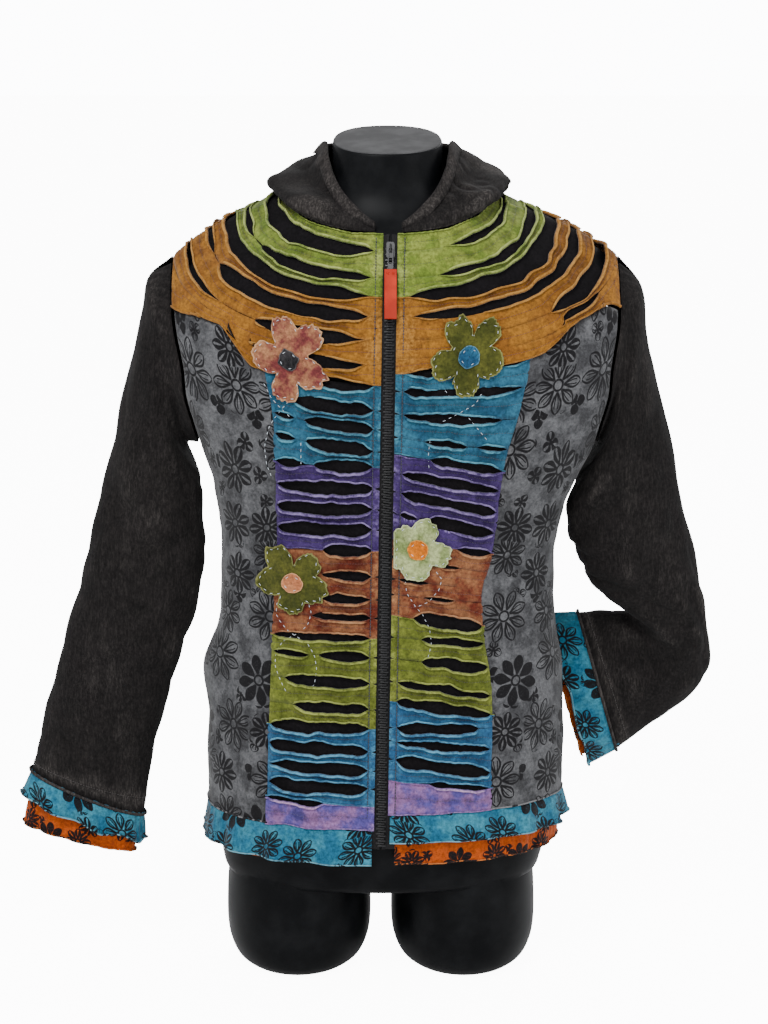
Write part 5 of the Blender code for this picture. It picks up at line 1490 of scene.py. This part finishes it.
# %% Tapes
def build_tape(side, word):
    heights = np.linspace(ZIP_TOP, ZIP_BOTTOM, 160)[:, None]
    outs = np.array((1.6, 2.2, 3.0, 4.0, 6.0, 9.0, 12.0, 13.4, 14.0)) * side
    lifts = np.array((0.9, 1.3, 1.2, 0.3, 0.0, 0.0, 0.0, 0.1, 0.0))
    if side < 0:
        outs = outs[::-1]
        lifts = lifts[::-1]
    angles = angle_at(heights, zip_across(heights) + outs)
    spots = joined(outs, heights)
    grid = body_point(heights, angles, lifts + 0.15 * uneven(spots, 40.0, 101 + side))
    sew(f"twill_tape_{word}", f"zip_tape_{word}", "black_tape", "draped", one_block(grid), False,
        TAPE_WALL, finish=TAPE_FINISH)


for side, word in SIDES:
    build_tape(side, word)


# %% One tooth, then its copies
def start_cube(name, size):
    bpy.ops.object.select_all(action="DESELECT")
    bpy.ops.mesh.primitive_cube_add(size=1.0)
    cube = bpy.context.active_object
    cube.name = name
    cube.scale = size
    bpy.ops.object.transform_apply(location=True, rotation=True, scale=True)
    return cube


def bevel_all(offset, segments=1):
    bpy.ops.object.mode_set(mode="EDIT")
    bpy.ops.mesh.select_all(action="SELECT")
    bpy.ops.mesh.bevel(offset=offset, segments=segments, affect="EDGES")
    bpy.ops.object.mode_set(mode="OBJECT")


def copies(name, pattern, frames, finish, replaces=()):
    """One mesh of many copies of a small one. A frame is a place and three directions."""
    mesh = pattern.data
    points = np.empty(len(mesh.vertices) * 3)
    mesh.vertices.foreach_get("co", points)
    points = points.reshape(-1, 3)
    faces = [tuple(polygon.vertices) for polygon in mesh.polygons]
    places, ways = frames
    spread = places[:, None] * MM + TORSO * MM + np.einsum("pk,nkj->npj", points, ways)
    all_faces = [tuple(corner + number * len(points) for corner in face)
                 for number in range(len(places)) for face in faces]
    made = bpy.data.meshes.new(name)
    made.from_pydata(spread.reshape(-1, 3).tolist(), [], all_faces)
    made.shade_smooth()
    item = new_object(name, made, finish)
    bpy.data.objects.remove(pattern, do_unlink=True)
    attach(item, "jacket")
    if replaces:
        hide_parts(*replaces)
    print(f"{name}: {len(places)} copies, {len(all_faces)} faces")
    return item


TOOTH_PITCH = 5.2
TOOTH_SIZE = (8.4 * MM, 1.75 * MM, 2.4 * MM)
tooth = start_cube("tooth", TOOTH_SIZE)
bevel_all(0.35 * MM, 2)
heights = np.arange(ZIP_TOP - 14, ZIP_BOTTOM + 2, -TOOTH_PITCH / 2)
sides = np.where(np.arange(len(heights)) % 2 == 0, -1.0, 1.0)
middle = angle_at(heights, zip_across(heights) + sides * 0.9)
places = body_point(heights, middle, 2.0)
outward = unit(places - body_point(heights, middle, 0.0))
down = unit(body_point(heights - 1, middle) - body_point(heights + 1, middle))
across = np.cross(down, outward)
copies("zip_teeth", tooth, (places, np.stack((across, down, outward), 1)), TOOTH_FINISH,
       ("zip_chain",))

# %% Slider, puller and rubber tag
for node, finish in (("zip_slider", METAL_FINISH), ("zip_puller", METAL_FINISH)):
    for material_slot in frame["nodes"][node].material_slots:
        material_slot.material = finish
SLIDER_TOP = 776.0
PULLER_START = 6.2
PULLER_LENGTH = 22.5
TAG_LENGTH = 50.0
TAG_LIFT = 4.7


def zip_frame():
    """Where the slider sits, and the directions down along the zip and out from it."""
    top, foot = (body_point(height, angle_at(height, zip_across(height)), 2.9)
                 for height in (SLIDER_TOP, SLIDER_TOP - 40.0))
    down = unit((foot - top) * np.array((0, 1, 1)))
    return top, down, np.cross(down, np.array((1.0, 0, 0)))


def build_tag():
    top, down, out = zip_frame()
    tag = start_cube("tag", (12 * MM, TAG_LENGTH * MM, 2.6 * MM))
    bpy.ops.object.mode_set(mode="EDIT")
    bpy.ops.mesh.select_all(action="DESELECT")
    shape = bmesh.from_edit_mesh(tag.data)
    for edge in shape.edges:
        way = edge.verts[0].co - edge.verts[1].co
        edge.select = abs(way.z) > abs(way.x) + abs(way.y)
    bmesh.update_edit_mesh(tag.data)
    bpy.ops.mesh.bevel(offset=2.5 * MM, segments=6, affect="EDGES")
    bpy.ops.mesh.select_all(action="DESELECT")
    shape = bmesh.from_edit_mesh(tag.data)
    for face in shape.faces:
        face.select = abs(face.normal.z) > 0.9
    bmesh.update_edit_mesh(tag.data)
    bpy.ops.mesh.inset(thickness=0.7 * MM, depth=-0.25 * MM)
    bpy.ops.mesh.select_all(action="SELECT")
    bpy.ops.mesh.bevel(offset=0.3 * MM, segments=2, affect="EDGES")
    for across, drop in ((-2.6, -21.0), (2.6, -21.0)):
        bpy.ops.mesh.select_all(action="DESELECT")
        bpy.ops.mesh.primitive_uv_sphere_add(segments=16, ring_count=8, radius=1.3 * MM,
                                             location=(across * MM, drop * MM, 1.1 * MM))
    bpy.ops.object.mode_set(mode="OBJECT")
    run = PULLER_START + PULLER_LENGTH + SEAM + TAG_LENGTH / 2
    middle = top + down * run + out * TAG_LIFT
    return tag, (middle[None], np.stack((np.array((1.0, 0, 0)), down, out))[None])


tag, tag_frame = build_tag()
tag_item = copies("rubber_tag", tag, tag_frame, RUBBER_FINISH, ("zip_tag",))
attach(tag_item, "pull_tab")

# %% [markdown]
# ## Sewn-on flowers
# Each flower is one piece of jersey with a raw edge and a contrast patch in the middle. It
# is a round grid whose rim follows five petals, crumpled a little and held down by white
# running stitches.

# %% Flowers and their centres
PETAL_RADIUS = 14.0
FLOWER_MIDDLE = 19.5
HEART_RADIUS = 10.5
HEART_STITCHES = 7.4
PETAL_TIPS = {
    "chest_left": ((-5, 35), (27, 31), (31, -15), (-5, -38), (-33, -3)),
    "chest_right": ((-14, 35), (25, 27), (30, -13), (-4, -35), (-35, -8)),
    "belly_left": ((-19, 34), (22, 27), (32, -9), (-2, -30), (-33, -1)),
    "belly_right": ((10, 28), (30, -8), (-2, -30), (-25, -12), (-22, 18)),
}
CENTRES = {
    "chest_left": cloth_finish("black flower centre", (0.007, 0.007, 0.008), (0.03, 0.028, 0.03),
                               (0.09, 0.085, 0.085), rubbed_and_lit=((0.08, 0.075, 0.075), 0.5), sheen=0.03),
    "chest_right": cloth_finish("blue flower centre", (0.010, 0.045, 0.095), (0.02, 0.10, 0.17),
                                (0.08, 0.22, 0.30)),
    "belly_left": cloth_finish("peach flower centre", (0.36, 0.14, 0.06), (0.26, 0.08, 0.035),
                               (0.50, 0.26, 0.13)),
    "belly_right": cloth_finish("orange flower centre", (0.46, 0.125, 0.006), (0.30, 0.06, 0.004),
                                (0.56, 0.26, 0.05)),
}


def flower_point(across, height, reach, angle, lift):
    place = height + reach * np.sin(angle)
    return body_point(place, angle_at(place, across + reach * np.cos(angle)), lift)


def flower_outline(name, across, height, angles, seed):
    """How far the rim lies at each angle: five round petals round a disc."""
    reach = np.full_like(angles, FLOWER_MIDDLE)
    for number, (right, up) in enumerate(PETAL_TIPS[name]):
        radius = PETAL_RADIUS * (1.0, 0.92, 1.08, 0.95, 1.04)[number]
        far = math.hypot(right, up) + 3.0 - radius
        away = angles - math.atan2(up, right)
        room = radius ** 2 - (far * np.sin(away)) ** 2
        petal = far * np.cos(away) + np.sqrt(np.maximum(room, 0.0))
        reach = np.where((room > 0) & (np.cos(away) > 0), np.maximum(reach, petal), reach)
    for _ in range(2):
        reach = (np.roll(reach[:-1], 1) + 2 * reach[:-1] + np.roll(reach[:-1], -1)) / 4
        reach = np.append(reach, reach[0])
    circle = np.stack((np.cos(angles), np.sin(angles)), -1) * 40
    reach = reach * (1 + 0.05 * uneven(circle, 16.0, seed) + 0.022 * uneven(circle, 5.0, seed + 1))
    edge = zip_across(height) + PANEL_EDGE + 1.0
    if across > edge:
        reach = np.minimum(reach, (across - edge) / np.maximum(-np.cos(angles), 1e-3))
    return reach


def build_flower(number, name, across, height, lift, cloth):
    angles = np.linspace(0, 2 * math.pi, 241)
    shares = np.concatenate((np.linspace(0.04, 0.9, 8), (0.94, 0.97, 0.99, 1.0)))[:, None]
    outline = flower_outline(name, across, height, angles, 111 + number)
    reach = outline * shares
    spots = np.stack((reach * np.cos(angles), reach * np.sin(angles)), -1)
    crumple = 0.55 * (np.abs(uneven(spots, 16.0, 121 + number)) - 0.4)
    crumple += 0.25 * uneven(spots, 7.0, 131 + number)
    dip = 0.5 * np.exp(-((shares - 0.86) / 0.04) ** 2)
    curl = 1.7 * np.clip((shares - 0.93) / 0.07, 0, 1) ** 1.5
    curl = curl * (0.7 + 0.5 * uneven(spots, 20.0, 141 + number))
    grid = flower_point(across, height, reach, angles, lift + crumple - dip + curl - 0.4 * shares)
    grid[:, -1] = grid[:, 0]
    lip = np.clip((shares - 0.93) / 0.05, 0, 1) * np.ones_like(angles)
    blocks = [(grid, spots * MM, lip, np.zeros_like(lip))]
    sew(f"flower_patch_{name}", f"flower_{name}", cloth, "laid", blocks, False, THIN)
    rim = outline - 3.2
    stitched = flower_point(across, height, rim, angles, lift + 0.7)
    SEWN.append((stitched, flower_point(across, height, rim, angles, lift + 1.7) - stitched, "white", 8.4))

    circle = np.stack((np.cos(angles), np.sin(angles)), -1) * 9
    reach = HEART_RADIUS * shares * (1 + 0.05 * uneven(circle, 9.0, 151 + number))
    if name == "chest_left":
        square = 1 / np.maximum(np.abs(np.cos(angles + 0.4)), np.abs(np.sin(angles + 0.4))) ** 0.6
        reach = reach * square * 0.86
    spots = np.stack((reach * np.cos(angles), reach * np.sin(angles)), -1)
    crumple = 0.6 * (np.abs(uneven(spots, 8.0, 161 + number)) - 0.3)
    if name == "chest_right":
        crumple = crumple * 2.2
    curl = 0.8 * np.clip((shares - 0.9) / 0.1, 0, 1) ** 1.5
    grid = flower_point(across, height, reach, angles, lift + 1.5 + crumple + curl - 0.3 * shares)
    grid[:, -1] = grid[:, 0]
    lip = np.clip((shares - 0.9) / 0.08, 0, 1) * np.ones_like(angles)
    blocks = [(grid, spots * MM, lip, np.zeros_like(lip))]
    sew(f"flower_heart_{name}", f"flower_centre_{name}", "patch", "laid", blocks, False, THIN,
        rests_on=f"flower_patch_{name}", finish=CENTRES[name])
    ring = flower_point(across, height, HEART_STITCHES + 0 * angles, angles, lift + 2.9)
    up = flower_point(across, height, HEART_STITCHES + 0 * angles, angles, lift + 3.9) - ring
    SEWN.append((ring, up, "white", 11.0))


for number, (name, across, height, _, lift, cloth) in enumerate(FLOWERS):
    build_flower(number, name, across, height, lift, cloth)

# %% [markdown]
# ## Stitches
# The machine stitches are 2 to 3 mm long and dark: one line down the middle of each strip,
# one beside the zip, one at each sleeve end and one along the hood's edge. The white hand
# stitches are longer: they edge the flowers and draw loops and stems below them. One stitch
# is a small sphere, stretched, and its copies follow the lines that the pieces above have
# left in a list.

# %% Lines beside the zip and by hand
HAND_LINES = (
    ((-122, 630), (-114, 616), (-105, 608), (-97, 602), (-91, 597)),
    ((-89, 630), (-97, 616), (-103, 608), (-112, 595), (-117, 585), (-121, 568), (-119, 553), (-114, 542)),
    ((-85, 580), (-85, 556)), ((-107, 422), (-111, 411), (-111, 401), (-107, 394), (-99, 385), (-92, 381),
     (-80, 374), (-73, 362), (-71, 348), (-73, 334), (-79, 320)),
    ((-79, 417), (-76, 406), (-79, 395), (-86, 386), (-96, 380), (-105, 374), (-112, 362), (-113, 348),
     (-108, 334), (-100, 318)),
    ((55, 636), (63, 624)), ((93, 629), (86, 618), (71, 611), (53, 603), (42, 589), (40, 570), (41, 552)),
    ((78, 607), (94, 586), (100, 578)), ((89, 553), (81, 542)),
    ((47, 452), (54, 442), (51, 431), (41, 419), (29, 414)),
    ((17, 449), (19, 429), (28, 414), (35, 406), (42, 391), (44, 375), (39, 355)),
)
for side in (-1, 1):
    heights = np.linspace(ZIP_TOP - 3, HEM_MIDDLE + 2, 400)
    angles = side * front_angle(side, heights, PANEL_EDGE + STITCH_IN)
    line = body_point(heights, angles, OVER_LIFT + 0.15)
    SEWN.append((line, body_point(heights, angles, OVER_LIFT + 1.15) - line, "bold", 3.0))
for line in HAND_LINES:
    knots = np.array(line, float)
    shares = np.linspace(0, 1, 40)
    across, height = (np.interp(shares, np.linspace(0, 1, len(knots)), knots[:, place]) for place in (0, 1))
    angles = angle_at(height, across)
    spots = body_point(height, angles, OVER_LIFT + 1.3)
    SEWN.append((spots, body_point(height, angles, OVER_LIFT + 2.3) - spots, "white", 6.4))
print("Lines of stitches:", len(SEWN))


# %% Copies of one stitch
def thread_finish(name, colour, pale):
    finish, tree, shader = new_finish(name)
    place = add_node(tree, "ShaderNodeTexCoord", {}).outputs["Object"]
    tint = noise(tree, place, 500.0)
    tree.links.new(mix_colour(tree, tint, (*colour, 1.0), (*pale, 1.0)), shader.inputs["Base Color"])
    add_bump(tree, shader, noise(tree, place, 4000.0), 0.4, 0.1)
    tree.links.new(calc(tree, "MULTIPLY_ADD", tint, 0.2, 0.5), shader.inputs["Roughness"])
    shader.inputs["Sheen Weight"].default_value = 0.2
    return finish


# The material, and the length and the thickness of a stitch in mm.
THREADS = {"dark": (thread_finish("dark thread", (0.008, 0.006, 0.006), (0.02, 0.014, 0.012)), 2.2, 0.6),
           "bold": (thread_finish("dark blue thread", (0.006, 0.006, 0.012), (0.018, 0.016, 0.030)),
                    2.9, 1.3),
           "wine": (thread_finish("wine red thread", (0.040, 0.003, 0.004), (0.075, 0.008, 0.008)),
                    2.3, 0.7),
           "white": (thread_finish("white thread", (0.40, 0.46, 0.52), (0.58, 0.62, 0.66)), 3.6, 0.65)}


def stitch_frames(kind):
    """Places and directions of all stitches of one kind along their lines."""
    places, ways = [], []
    for line, ups, thread, pitch in SEWN:
        if thread != kind:
            continue
        run = run_along(line)
        if run[-1] < 2 * pitch:
            continue
        at = np.arange(pitch * 0.6, run[-1] - pitch * 0.4, pitch)
        spot = np.stack([np.interp(at, run, line[:, axis]) for axis in range(3)], -1)
        ahead = np.stack([np.interp(at + 0.8, run, line[:, axis]) for axis in range(3)], -1)
        up = np.stack([np.interp(at, run, ups[:, axis]) for axis in range(3)], -1)
        along = unit(ahead - spot)
        aside = unit(np.cross(unit(up), along))
        places.append(spot)
        ways.append(np.stack((along, aside, np.cross(along, aside)), 1))
    return np.concatenate(places), np.concatenate(ways)


for kind, (finish, length, thick) in THREADS.items():
    bpy.ops.object.select_all(action="DESELECT")
    bpy.ops.mesh.primitive_uv_sphere_add(segments=5, ring_count=3, radius=0.5)
    stitch = bpy.context.active_object
    stitch.rotation_euler = (0.0, math.radians(90), 0.0)
    bpy.ops.object.transform_apply(location=True, rotation=True, scale=True)
    stitch.scale = (length * MM, thick * MM, thick * MM)
    bpy.ops.object.transform_apply(location=True, rotation=True, scale=True)
    copies(f"stitches_{kind}", stitch, stitch_frames(kind), finish)

# %% [markdown]
# ## Torso form
# The form is a loft through its rings with two rounded stubs for feet, joined by a Boolean.
# Its neck ends in a flat tilted cap with a rounded edge, coloured grey as a painted reflection.

# %% Loft of the form
NECK_RINGS = (
    (861, 872, 884, 54, 52, 52, 0), (858, 869, 881, 55.5, 53.5, 53.5, 0),
    (838, 850, 862, 56, 55, 54, 0), (818, 837, 852, 61, 58, 55, 0), (800, 825, 843, 77, 66, 58, 0),
)
HIP_RINGS = ((112, 112, 112, 168, 100, 98, -6), (104, 104, 104, 150, 84, 82, -6))
STUB_RINGS = ((150, 62, 70), (110, 74, 84), (70, 77, 87), (36, 76, 86), (14, 69, 80), (4, 59, 71),
              (0, 48, 60))
STUB_CENTRE = 88.0
STUB_LEAN = -7.0
FORM_AROUND = 72


def form_ring(row):
    """A ring of the jacket, drawn in by the room that the cloth leaves."""
    ring = list(row)
    for column, share in zip((FRONT, SIDE, BACK), (0.5, 0.7, 0.7)):
        ring[column] -= row[EASE] * share
    if ARMHOLE_BOTTOM < row[FRONT] < ARMHOLE_TOP:
        share = (row[FRONT] - 604.0) / 59.0
        ring[WIDTH] -= ARMHOLE_BITE * max(0.0, 1 - share * share)
    for column in (WIDTH, DEPTH_FRONT, DEPTH_BACK):
        ring[column] -= row[EASE]
    return tuple(ring[:7])


def loft(name, rings):
    rows, around = rings.shape[:2]
    index = np.arange(rows * around).reshape(rows, around)
    after = np.roll(index, -1, axis=1)
    faces = np.stack((index[:-1], after[:-1], after[1:], index[1:]), -1).reshape(-1, 4).tolist()
    faces += [index[0, ::-1].tolist(), index[-1].tolist()]
    mesh = bpy.data.meshes.new(name)
    mesh.from_pydata(((rings.reshape(-1, 3) + TORSO) * MM).tolist(), [], faces)
    shape = bmesh.new()
    shape.from_mesh(mesh)
    bmesh.ops.recalc_face_normals(shape, faces=shape.faces)
    shape.to_mesh(mesh)
    shape.free()
    return new_object(name, mesh)


def pick(item):
    """Makes an object the only one that the next operator works on."""
    bpy.ops.object.select_all(action="DESELECT")
    item.select_set(True)
    bpy.context.view_layer.objects.active = item


def smooth_rings(rows, count):
    """More rings through a table of rings, on curves against their number."""
    curve = smooth_table([(number, *row) for number, row in enumerate(rows)])
    return curve(np.linspace(0, len(rows) - 1, count))[:, 1:]


turns = np.linspace(0, 2 * math.pi, FORM_AROUND + 1)[:-1]
covered = BODY_RINGS[:12] + BODY_RINGS[13::2]
table = [*NECK_RINGS, *(form_ring(row) for row in covered), *HIP_RINGS]
rows = smooth_rings(table, 110)
form = loft("torso_form", ring_point(rows[:, None, :], turns[None, :]))
for side in (-1, 1):
    rows = smooth_rings(STUB_RINGS, 44)
    across = STUB_LEAN + side * STUB_CENTRE + rows[:, 1:2] * np.sin(turns)
    stub = loft("stub", joined(across, -rows[:, 2:3] * np.cos(turns), rows[:, :1]))
    union = form.modifiers.new("Stub", "BOOLEAN")
    union.operation = "UNION"
    union.object = stub
    pick(form)
    bpy.ops.object.modifier_apply(modifier="Stub")
    bpy.data.objects.remove(stub, do_unlink=True)
form.data.materials.clear()
form.data.materials.append(FORM_FINISH)
bpy.ops.object.shade_smooth_by_angle(angle=math.radians(40))
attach(form, "jacket")
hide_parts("form")
print("Form:", len(form.data.polygons), "faces")

# %% Cap of the neck, painted grey for its reflection
cap_rings = []
for inset, rise in ((0.0, -0.6), (-0.3, 0.3), (0.0, 0.8), (0.6, 1.1), (1.6, 1.1), (12.0, 1.1), (30.0, 1.1)):
    ring = np.array(NECK_RINGS[0], float)
    share = 1 - inset / ring[WIDTH]
    ring[[WIDTH, DEPTH_FRONT, DEPTH_BACK]] *= share
    ring[[FRONT, BACK]] = ring[SIDE] + (ring[[FRONT, BACK]] - ring[SIDE]) * share
    ring[[FRONT, SIDE, BACK]] += rise
    cap_rings.append(ring_point(ring, turns))
cap = loft("neck_cap", np.array(cap_rings))
cap.data.materials.append(CAP_REFLECTION_FINISH)
pick(cap)
bpy.ops.object.shade_smooth_by_angle(angle=math.radians(40))
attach(cap, "jacket")
print("Neck cap:", len(cap.data.polygons), "faces")

# %% [markdown]
# ## Floor, light and camera
# A wide pale floor and three large soft lights, as in a photo studio. The camera looks
# down a little from the front, at the height and distance worked out from the photograph.

# %% Floor and world
FLOOR_GLOW = 11.0
SKY_LIGHT = 1.15
SKY_SEEN = 13.0
bpy.ops.object.select_all(action="DESELECT")
bpy.ops.mesh.primitive_plane_add(size=60.0)
floor = bpy.context.active_object
floor.name = "floor"
floor_finish, tree, shader = new_finish("pale floor")
shader.inputs["Base Color"].default_value = (0.92, 0.92, 0.92, 1.0)
shader.inputs["Roughness"].default_value = 0.9
shader.inputs["Specular IOR Level"].default_value = 0.0
shader.inputs["Emission Color"].default_value = WHITE
rays = add_node(tree, "ShaderNodeLightPath", {}).outputs["Is Camera Ray"]
tree.links.new(calc(tree, "MULTIPLY", rays, FLOOR_GLOW), shader.inputs["Emission Strength"])
floor.data.materials.append(floor_finish)
world = bpy.data.worlds.new("studio")
world.use_nodes = True
tree = world.node_tree
sky = tree.nodes["Background"].inputs
sky["Color"].default_value = (0.97, 0.98, 1.0, 1.0)
rays = add_node(tree, "ShaderNodeLightPath", {}).outputs["Is Camera Ray"]
tree.links.new(calc(tree, "MULTIPLY_ADD", rays, SKY_SEEN - SKY_LIGHT, SKY_LIGHT), sky["Strength"])
bpy.context.scene.world = world
print("Floor glow", FLOOR_GLOW, "sky light", SKY_LIGHT)

# %% Lights and camera
LIGHTS = (("key", (-0.8, -2.2, 2.8), 1.2, 105.0), ("fill", (2.0, -2.0, 1.4), 1.8, 26.0),
          ("rim", (0.4, 2.0, 2.4), 1.6, 30.0))
AIM = np.array((0.0, 0.0, 0.45))
CAMERA_PLACE = (0.0245, -2.398, 0.99)
CAMERA_DOWN = 11.8
FOCAL_PIXELS = 2350
PICTURE_HEIGHT = 1024
SENSOR = 36.0
for name, at, size, power in LIGHTS:
    lamp = bpy.data.lights.new(name, "AREA")
    lamp.shape = "DISK"
    lamp.size = size
    lamp.energy = power
    light = new_object(name, lamp)
    light.location = at
    way = AIM - np.array(at)
    pitch = math.atan2(math.hypot(way[0], way[1]), -way[2])
    light.rotation_euler = (pitch, 0.0, math.atan2(-way[0], way[1]))
lens_data = bpy.data.cameras.new("photo")
lens_data.sensor_fit = "VERTICAL"
lens_data.sensor_height = SENSOR
lens_data.lens = FOCAL_PIXELS / PICTURE_HEIGHT * SENSOR
camera = new_object("photo", lens_data)
camera.location = CAMERA_PLACE
camera.rotation_euler = (math.radians(90 - CAMERA_DOWN), 0.0, 0.0)
bpy.context.scene.camera = camera
print("Camera at", tuple(camera.location), "lens", round(lens_data.lens, 1), "mm")
